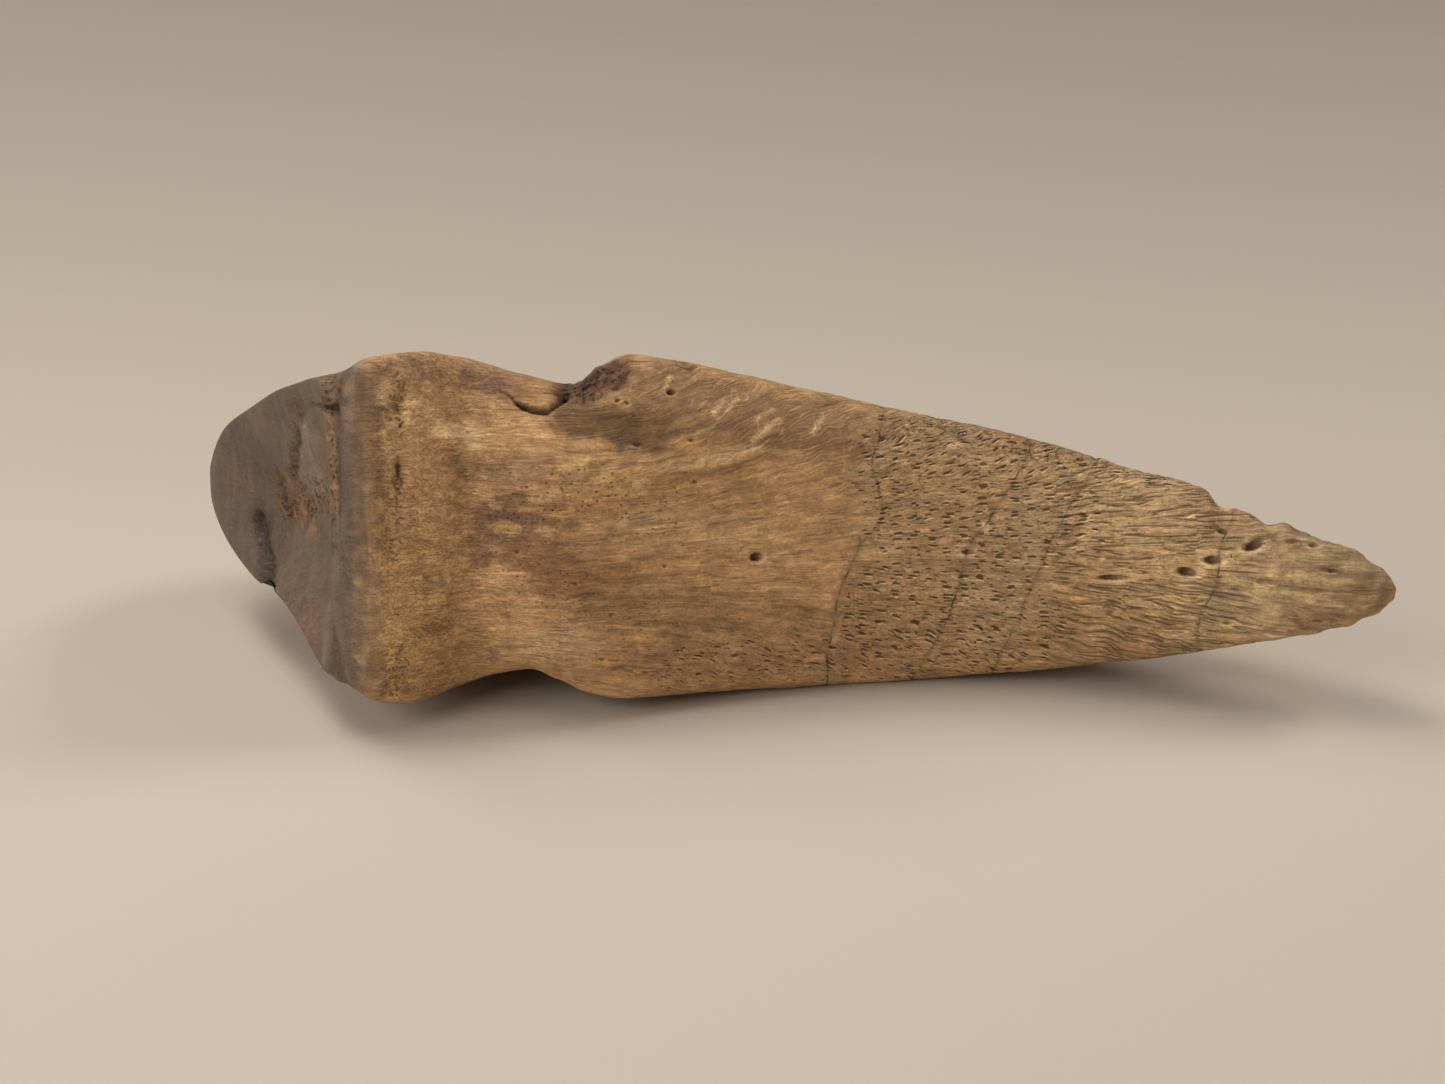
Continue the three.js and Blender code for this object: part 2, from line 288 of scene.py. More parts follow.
    def section(self, x: Array, at: Stations) -> tuple[Array, Array]:
        """The cross-section.

        Args:
            x: how far along the claw each point lies.
            at: where each point stands on the grid.

        Returns:
            y and z of each point.
        """
        left, right = self.left.at(x), self.right.at(x)
        past = np.clip((x - (self.length - self.tip_length)) / self.tip_length, 0, 1)
        close = np.sqrt(1 - past**2)
        reach = (left + right) / 2 * close
        under, back = self.underside.at(x), self.back.at(x)
        core = (under + back) / 2
        low = core + (under - core) * close
        high = core + (back - core) * close
        flange = low + np.minimum(self.thickness.at(x), (high - low) * self.flange_share)
        quarter = np.sin(math.pi / 2 * at.turn)
        out = np.minimum((at.turn + quarter) / 2, 1)
        square = self.squareness.at(x)
        drop = (1 - out**square) ** (1 / square)
        rounded = np.sqrt(np.maximum(1 - quarter**6, 0))
        wide = reach * (1 - self.taper.at(x) * quarter) * rounded
        height = (high - flange) * quarter
        groove = self.groove.at(x) * bump(height - self.groove_height, self.groove_width)
        short, long = self.wave_lengths
        first, second = self.wave_turns
        waves = np.sin(x / short + at.side * first * quarter) * np.sin(x / long + second * quarter)
        swell = self.unevenness * waves * np.minimum(quarter * 4, 1) * rounded * close
        across = np.where(at.flank, np.maximum(wide - groove + swell, 0), reach * out)
        up = np.where(at.flank, height, -(flange - low) * drop)
        return (left - right) / 2 + at.side * across, flange + up

    def body(self, far: Array, at: Stations) -> Array:
        """Points of the body.

        Args:
            far: how far each lies, as a share of the way from the joint's margin to the point.
            at: where each point stands on the grid.

        Returns:
            The points in the claw's own axes.
        """
        x = self.length * far
        y, z = self.section(x, at)
        for _ in range(self.settle_rounds):
            margin = self.margin(z)
            x = (x + margin + (self.length - margin) * far) / 2
            y, z = self.section(x, at)
        raised = sum(form.at(x, y) for form in self.underside_forms)
        under = np.where(at.flank, np.maximum(1 - at.turn / self.flank_fade, 0), 1)
        return np.stack([x, y, z - raised * under], axis=1)

    def points(self, at: Stations) -> Array:
        """The surface.

        Args:
            at: where each vertex stands on the grid.

        Returns:
            Each vertex in the claw's own axes, in millimetres.
        """
        body = self.body(np.where(at.joint, 0, at.far), at)
        middle = self.joint_height * self.joint_middle
        y = body[:, 1] * at.far
        z = middle + (body[:, 2] - middle) * at.far
        hollow = self.joint_hollow * np.maximum(1 - at.far**2, 0) ** self.hollow_power
        raised = sum(form.at(y, z) for form in self.joint_forms) * (1 - at.far**6)
        joint = np.stack([self.margin(z) + hollow - raised, y, z], axis=1)
        return np.where(at.joint[:, None], joint, body)

    def laid(self, points: Array) -> Array:
        """Turns the claw to how it lies.

        Args:
            points: places in the claw's own axes.

        Returns:
            The places in the frame's directions, still in millimetres.
        """
        pitch = Matrix.Rotation(math.radians(self.pitch), 3, "Y")
        roll = Matrix.Rotation(math.radians(self.roll), 3, "X")
        return points @ np.array(pitch @ roll).T


@dataclass
class Grid:
    """The vertex grid: rings along the claw and stations round each ring."""

    underside_steps: int = 90
    flank_steps: int = 28
    body_rings: int = 322
    tip_rings: int = 20
    joint_rings: int = 66

    @property
    def half(self) -> int:
        """How many stations stand on each side of a ring."""
        return self.underside_steps + self.flank_steps

    def stations(self, tip_share: float) -> Stations:
        """Lays out every vertex, ring by ring, then the joint's middle and the point.

        Args:
            tip_share: the share of the claw's length that the blunt point takes.

        Returns:
            The place of each vertex on the grid.
        """
        under = np.arange(self.underside_steps) / self.underside_steps
        flank = np.arange(self.flank_steps) / self.flank_steps
        turn = np.concatenate([under, flank, 1 - flank, 1 - under])
        n_under, n_flank = self.underside_steps, self.flank_steps
        above = np.repeat([False, True, True, False], [n_under, n_flank, n_flank, n_under])
        side = np.repeat([1.0, -1.0], self.half)
        shares = np.arange(1, self.joint_rings) / self.joint_rings
        tip_start = 1 - tip_share
        along = tip_start * np.arange(self.body_rings) / self.body_rings
        round_tip = np.sin(math.pi / 2 * np.arange(self.tip_rings) / self.tip_rings)
        far = np.concatenate([shares, along, tip_start + tip_share * round_tip])
        joint = np.arange(len(far)) < len(shares)
        count, rings = len(turn), len(far)
        return Stations(
            joint=np.append(np.repeat(joint, count), [True, False]),
            far=np.append(np.repeat(far, count), [0.0, 1.0]),
            flank=np.append(np.tile(above, rings), [False, False]),
            turn=np.append(np.tile(turn, rings), [0.0, 0.0]),
            side=np.append(np.tile(side, rings), [1.0, 1.0]),
        )

    def faces(self) -> list[tuple[int, ...]]:
        """Joins the vertices up.

        Returns:
            Quads between the rings, and fans at the joint's middle and at the point.
        """
        count = 2 * self.half
        rings = self.joint_rings - 1 + self.body_rings + self.tip_rings
        here = np.arange(count)
        following = (here + 1) % count
        starts = np.arange(rings - 1)[:, None] * count
        quads = np.stack(
            [starts + here, starts + following, starts + following + count, starts + here + count],
            axis=-1,
        ).reshape(-1, 4)
        middle = rings * count
        last = (rings - 1) * count
        sides = list(zip(here.tolist(), following.tolist()))
        fans = [(middle, b, a) for a, b in sides]
        fans += [(middle + 1, last + a, last + b) for a, b in sides]
        return quads.tolist() + fans


# ---------------------------------------------------------------- marks on the bone


BLOT_EDGE = (1.25, 0.55)  # where a region starts and is full, as shares of its reach
HOLE_EDGE = (1.15, 0.4)
SEAM_EDGE = (1.3, 0.4)


@dataclass(frozen=True)
class Blot:
    """A soft-edged region round a line from start to end, in the claw's axes."""

    start: Point
    end: Point
    reach: Point
    ragged: float = 0.3

    def at(self, points: Array, rough: Array) -> Array:
        """How much of each place it covers.

        Args:
            points: places in the claw's axes.
            rough: random values from -1 to 1 there, which make its edge ragged.

        Returns:
            1 inside, 0 outside, and in between along its edge.
        """
        reach = np.array(self.reach)
        first = np.array(self.start) / reach
        line = np.array(self.end) / reach - first
        offset = points / reach - first
        share = np.clip(offset @ line / max(line @ line, 1e-9), 0, 1)
        distance = np.linalg.norm(offset - share[:, None] * line, axis=1)
        return step(*BLOT_EDGE, distance + self.ragged * rough)


@dataclass(frozen=True)
class Hole:
    """A blood vessel's hole in the underside, stretched along the claw."""

    x: float
    y: float
    length: float
    width: float
    depth: float = 0.9
    turn: float = 0.0

    def place(self, points: Array) -> tuple[Array, Array]:
        """Measures from its middle.

        Args:
            points: places in the claw's axes.

        Returns:
            How far each place lies along and across it, as shares of its radii.
        """
        angle = math.radians(self.turn)
        dx, dy = points[:, 0] - self.x, points[:, 1] - self.y
        along = dx * math.cos(angle) + dy * math.sin(angle)
        across = dy * math.cos(angle) - dx * math.sin(angle)
        return along / (self.length / 2), across / (self.width / 2)

    def at(self, points: Array) -> Array:
        """How deep it goes.

        Args:
            points: places on the underside.

        Returns:
            Its depth at each place; it is steep and deep on the joint's side.
        """
        run, across = self.place(points)
        slope = 0.62 - 0.38 * np.clip(run, -1, 1)
        return self.depth * slope * step(*HOLE_EDGE, np.hypot(run, across))


@dataclass(frozen=True)
class Crack:
    """A crack across the underside, given as (y, x) pairs from the right edge to the left."""

    pairs: Pairs
    width: float
    depth: float
    sway: Pattern = Pattern(0.35, 2.2, 71)
    breaks: Pattern = Pattern(1.0, 1.6, 73, 2)

    def offset(self, points: Array) -> Array:
        """Measures from the crack.

        Args:
            points: places in the claw's axes.

        Returns:
            How far each place lies beyond the crack, in millimetres along the claw.
        """
        y = points[:, 1]
        line = np.stack([np.zeros_like(y), y, np.zeros_like(y)], axis=1)
        return points[:, 0] - Profile(self.pairs).at(y) - self.sway.at(line)

    def relief(self, points: Array) -> Array:
        """The crack's groove, broken here and there, as a height below the surface."""
        open_here = step(-0.35, 0.3, self.breaks.at(points))
        return -self.depth * bump(self.offset(points), self.width) * open_here


@dataclass(frozen=True)
class Seam:
    """A narrow gap along a bent line through places in the claw's axes."""

    places: tuple[Point, ...]
    width: float
    depth: float
    # how dark its painted shade is, as a share
    darkness: float = 1.0
    wander: float = 0.35
    squash: float = 0.12  # how much a place's z counts, as the line lies on the surface
    sways: tuple[Pattern, ...] = tuple(Pattern(1.0, 1.7, seed, 2) for seed in (91, 92, 93))
    unevenness: Pattern = Pattern(0.5, 1.3, 95, 2)

    def at(self, points: Array) -> Array:
        """How far open it is.

        Args:
            points: places in the claw's axes.

        Returns:
            A value from 0, closed, to 1, open, for each place.
        """
        sway = np.stack([pattern.at(points) for pattern in self.sways], axis=1)
        scale = np.array([1, 1, self.squash])
        moved = (points + self.wander * sway) * scale
        corners = np.array(self.places) * scale
        nearest = np.full(len(points), np.inf)
        for first, last in zip(corners[:-1], corners[1:]):
            line = last - first
            share = np.clip((moved - first) @ line / (line @ line), 0, 1)
            distance = np.linalg.norm(moved - first - share[:, None] * line, axis=1)
            nearest = np.minimum(nearest, distance)
        uneven = 1 + self.unevenness.at(points)
        return step(*SEAM_EDGE, nearest / (self.width * uneven))


class Finish(Enum):
    """The kinds of surface that the bone has, each a mask on the mesh."""

    PITTED = "pitted"
    FIBROUS = "fibrous"
    CRUMBLY = "crumbly"
    SCRATCHED = "scratched"
    POLISHED = "polished"
    POROUS = "porous"


@dataclass
class ClawMarks:
    """The holes, cracks and narrow gaps that are placed one by one."""

    holes: tuple[Hole, ...] = (
        Hole(67.4, 3.4, 1.7, 1.25, 1.3, -8),
        Hole(108.1, 5.9, 4.2, 0.8, 0.8, -3),
        Hole(116.2, 4.9, 2.6, 1.25, 1.2, 6),
        Hole(119.0, 3.4, 2.3, 1.2, 1.2),
        Hole(123.5, 1.5, 2.9, 1.3, 1.2, -28),
        Hole(124.7, 5.6, 2.2, 1.2, 0.25),
        Hole(131.9, 4.2, 1.2, 0.5, 0.3),
        Hole(120.2, 0.2, 1.3, 0.6, 0.6),
        Hole(130.1, 1.5, 1.6, 0.6, 0.5),
        Hole(121.0, 10.8, 1.4, 0.5, 0.5),
        Hole(130.9, 10.2, 1.4, 0.5, 0.5),
        Hole(57.7, -15.7, 1.1, 0.8, 0.9),
        Hole(51.7, -14.9, 0.8, 0.6, 0.6),
        Hole(52.8, -14.6, 0.6, 0.5, 0.5),
        Hole(59.9, -10.4, 0.8, 0.5, 0.5),
        Hole(54.1, -10.1, 1.5, 0.6, 0.5),
        Hole(60.3, -5.6, 0.7, 0.5, 0.5),
        Hole(58.1, -5.1, 0.5, 0.4, 0.4),
        Hole(57.0, 3.8, 0.6, 0.5, 0.5),
        Hole(47.1, 5.2, 0.7, 0.5, 0.5),
        Hole(51.0, 9.0, 0.8, 0.5, 0.4, -30),
        Hole(49.9, 14.3, 0.7, 0.5, 0.5),
        Hole(54.8, 16.3, 0.9, 0.5, 0.4),
        Hole(40.5, 1.7, 0.8, 0.5, 0.5),
        Hole(39.1, -2.8, 0.7, 0.5, 0.4),
        Hole(41.7, -5.5, 0.6, 0.4, 0.4),
        Hole(91.7, 3.3, 1.8, 0.7, 0.6),
    )
    cracks: tuple[Crack, ...] = (
        Crack(((-14, 82.6), (-10, 81.4), (-7.1, 80.5), (-1.5, 81.9), (2.9, 79.3), (8, 77),
               (16, 75.6)), 0.28, 0.14),
        Crack(((-8, 98.6), (-0.8, 94.3), (3.3, 91.7), (8, 90.6), (12.7, 88.9), (19, 85.6)),
              0.28, 0.16),
        Crack(((-9, 107.4), (-0.6, 102.4), (5.1, 99.9), (11.4, 97.5), (18, 95)), 0.25, 0.12),
        Crack(((-3, 122.4), (2, 120), (6.3, 119.4), (11.2, 117.7), (15, 118.4)), 0.25, 0.12),
    )
    seams: tuple[Seam, ...] = (
        Seam(((34.5, -17.4, 4), (37, -16.5, 5), (39.4, -15.4, 5), (40.8, -14.4, 5)), 0.2, 0.5, 0.8),
        Seam(((40.6, -14.6, 5), (42, -13.8, 5), (44, -13.8, 5), (45.4, -14.5, 5), (46, -15.4, 6)),
             0.3, 0.8),
        Seam(((16.4, -14, 8.5), (18.6, -14.2, 5), (20.8, -14.5, 1.6)), 0.2, 0.3, 0.8, 0.3),
        Seam(((21.3, -17.6, 1), (21.2, -10.5, 1), (21.4, -2.6, 1)), 0.26, 0.35, 0.5, 0.15),
        Seam(((81.4, -13.4, 10), (82.8, -12.2, 10), (82.6, -10.6, 10)), 0.26, 0.4),
        Seam(((28.4, -15.8, 1), (27.6, -15, 1), (28.2, -14, 1)), 0.2, 0.3, 0.7, 0.6),
        Seam(((27.6, -13.4, 1), (28.4, -12.8, 1), (27.8, -12, 1)), 0.18, 0.3, 0.7, 0.6),
        Seam(((28, -8.2, 1), (27.6, -7.2, 1), (28, -6.2, 1)), 0.18, 0.3, 0.7, 0.6),
    )


# ---------------------------------------------------------------- node boards


class Board:
    """Adds nodes to a shader or geometry tree and joins them up."""

    def __init__(self, tree: bpy.types.NodeTree) -> None:
        """Takes the tree to build in."""
        self.tree = tree

    def add(self, kind: str, inputs: Union[dict, None] = None, **settings: Any) -> bpy.types.Node:
        """Adds one node.

        Args:
            kind: the node's type.
            inputs: what goes in each socket, by name or number: a socket or a plain value.
            **settings: the node's own settings.

        Returns:
            The new node.
        """
        node = self.tree.nodes.new(kind)
        for name, value in settings.items():
            setattr(node, name, value)
        for name, value in (inputs or {}).items():
            socket = node.inputs[name]
            if isinstance(value, bpy.types.NodeSocket):
                self.tree.links.new(value, socket)
            else:
                socket.default_value = value
        return node

    def math(self, operation: str, *values: Socket, clamp: bool = False) -> Socket:
        """One sum on numbers, whose result is returned as a socket."""
        inputs = dict(enumerate(values))
        return self.add("ShaderNodeMath", inputs, operation=operation, use_clamp=clamp).outputs[0]

    def vector(self, operation: str, *values: Socket) -> Socket:
        """One sum on vectors, whose result is returned as a socket."""
        inputs = dict(enumerate(values))
        return self.add("ShaderNodeVectorMath", inputs, operation=operation).outputs[0]

    def times(self, *values: Socket) -> Socket:
        """The product of two or more numbers."""
        return functools.reduce(functools.partial(self.math, "MULTIPLY"), values)

    def plus_share(self, value: Socket, share: Socket, base: Socket, clamp: bool = False) -> Socket:
        """Base, with a share of value added to it."""
        return self.math("MULTIPLY_ADD", value, share, base, clamp=clamp)

    def scaled(self, vector: Socket, size: Socket) -> Socket:
        """A vector or a colour times one number."""
        inputs = {0: vector, "Scale": size}
        return self.add("ShaderNodeVectorMath", inputs, operation="SCALE").outputs[0]

    def split(self, vector: Socket) -> bpy.types.bpy_prop_collection:
        """A vector's three numbers."""
        return self.add("ShaderNodeSeparateXYZ", {0: vector}).outputs

    def from_middle(self, value: Socket, middle: float = 0.5) -> Socket:
        """How far a number lies from the middle of its range, whichever way."""
        return self.math("ABSOLUTE", self.math("SUBTRACT", value, middle))

    def ramp(self, value: Socket, low: Socket, high: Socket, start: Socket, end: Socket) -> Socket:
        """Eases a number from one range to another.

        Args:
            value: the number.
            low: where it starts to rise or fall.
            high: where it has risen or fallen.
            start: the result at low.
            end: the result at high.

        Returns:
            The result, which stays at start or end outside the range.
        """
        inputs = {"Value": value, "From Min": low, "From Max": high, "To Min": start, "To Max": end}
        node = self.add("ShaderNodeMapRange", inputs, interpolation_type="SMOOTHSTEP")
        return node.outputs["Result"]

    def noise(self, place: Socket, output: str = "Fac", flat: bool = True,
              **inputs: float) -> Socket:
        """Adds noise.

        Args:
            place: where it is read.
            output: Fac for one value at each place, Color for three.
            flat: whether the place's third number is left out.
            **inputs: the node's other inputs, by name.

        Returns:
            The noise, round 0.5.
        """
        values = {"Vector": place, "Scale": 1.0, **inputs}
        node = self.add("ShaderNodeTexNoise", values, noise_dimensions="2D" if flat else "3D")
        return node.outputs[output]

    def cells(self, place: Socket, flat: bool = True) -> tuple[Socket, Socket]:
        """Adds scattered cells.

        Args:
            place: where they are read.
            flat: whether the place's third number is left out.

        Returns:
            The distance from the middle of each cell, and three random values for each.
        """
        settings = {"voronoi_dimensions": "2D" if flat else "3D", "feature": "F1"}
        node = self.add("ShaderNodeTexVoronoi", {"Vector": place, "Scale": 1.0}, **settings)
        return node.outputs["Distance"], node.outputs["Color"]

    def mix(self, share: Socket, under: Socket, over: Socket) -> Socket:
        """Lays one colour over another by a share from 0 to 1."""
        node = self.add("ShaderNodeMix", {0: share, 6: under, 7: over}, data_type="RGBA")
        return node.outputs[2]


def read_attribute(board: Board, name: str) -> Socket:
    """Reads a vector attribute of the mesh in a geometry tree."""
    kind = "GeometryNodeInputNamedAttribute"
    return board.add(kind, {"Name": name}, data_type="FLOAT_VECTOR").outputs["Attribute"]


def finish_attribute(board: Board, name: str, output: str = "Vector") -> Socket:
    """Reads a mesh attribute in a finish."""
    return board.add("ShaderNodeAttribute", attribute_name=name).outputs[output]


# ---------------------------------------------------------------- colours and regions


def linear_light(tint: Tint) -> Array:
    """An 8-bit sRGB colour as linear light, from 0 to 1."""
    share = np.array(tint) / 255
    return np.where(share <= 0.04045, share / 12.92, ((share + 0.055) / 1.055) ** 2.4)


class Pigment(Enum):
    """The colours that the bone has taken up, as 8-bit sRGB, and one dark colour that also serves as
    painted shade in recesses.
    """

    OCHRE = (152, 117, 79)
    GOLDEN = (160, 124, 83)
    TAN = (155, 126, 89)
    UMBER = (113, 87, 57)
    TONGUE = (72, 57, 47)
    FACET = (80, 66, 53)
    SLATE = (93, 79, 66)
    RIM = (108, 85, 62)
    BURNT = (86, 62, 43)
    RUST = (128, 91, 55)
    SULPHUR = (171, 136, 85)
    OLIVE = (93, 69, 42)
    ROSE = (117, 88, 62)
    OXBLOOD = (93, 64, 48)
    PALE = (150, 128, 92)
    FRESH = (186, 154, 112)
    ASH = (147, 121, 87)
    SKIN = (131, 108, 78)
    EMBER = (158, 112, 64)
    # dark stains, and painted shade in pits, wrinkles, pores, pinholes, gaps, holes and the joint's
    # step and crease
    DARK = (46, 33, 23)
    FILL = (150, 124, 88)

    def linear(self) -> Array:
        """The colour as linear light, from 0 to 1."""
        return linear_light(self.value)

    def opaque(self) -> tuple[float, ...]:
        """The colour as a socket's value."""
        return (*self.linear().tolist(), 1.0)


@dataclass(frozen=True)
class Stain:
    """A region that has taken up a colour; some dark ones are painted shade."""

    pigment: Pigment
    blot: Blot
    strength: float = 1.0
    crumbled: bool = False  # its edge breaks up finely, without the grain's direction


@dataclass(frozen=True)
class Carving:
    """A region that stands out (+) or is worn away (-), in millimetres."""

    height: float
    blot: Blot


def spot(x: float, y: float, z: float, reach: Union[float, Point], ragged: float = 0.3) -> Blot:
    """A round or oval region with its middle at a place."""
    sizes = reach if isinstance(reach, tuple) else (reach, reach, reach)
    return Blot((x, y, z), (x, y, z), sizes, ragged)


def face_spot(x: float, y: float, reach_x: float, reach_y: float, ragged: float = 0.3) -> Blot:
    """A region of the underside, whatever the underside's height there."""
    return Blot((x, y, 5), (x, y, 5), (reach_x, reach_y, 12), ragged)


EDGE_NICKS: tuple[tuple[Point, Point, float], ...] = (  # start, end and reach across
    ((58.6, -19.2, 8), (60.0, -18.6, 8), 0.6),
    ((64.4, -17.8, 8), (66.8, -17.0, 9), 0.5),
    ((74.6, -15.0, 10), (76.8, -14.5, 10), 0.5),
)
SHOULDER_SCRATCHES_AND_GLINTS: tuple[tuple[Point, Point], ...] = (  # start and end; pale strokes that are scratches and painted glints
    ((57.0, -16.2, 8), (57.6, -17.4, 8)),
    ((62.4, -13.2, 8), (63.5, -14.4, 8)),
    ((63.9, -13.5, 8), (65.1, -14.8, 8)),
    ((67.2, -12.3, 8), (69.0, -13.3, 8)),
    ((73.7, -10.6, 10), (75.0, -12.4, 10)),
)


def edge_nicks(ragged: float) -> list[Blot]:
    """The dark nicks along the right edge."""
    return [Blot(start, end, (0.6, across, 2.5), ragged) for start, end, across in EDGE_NICKS]


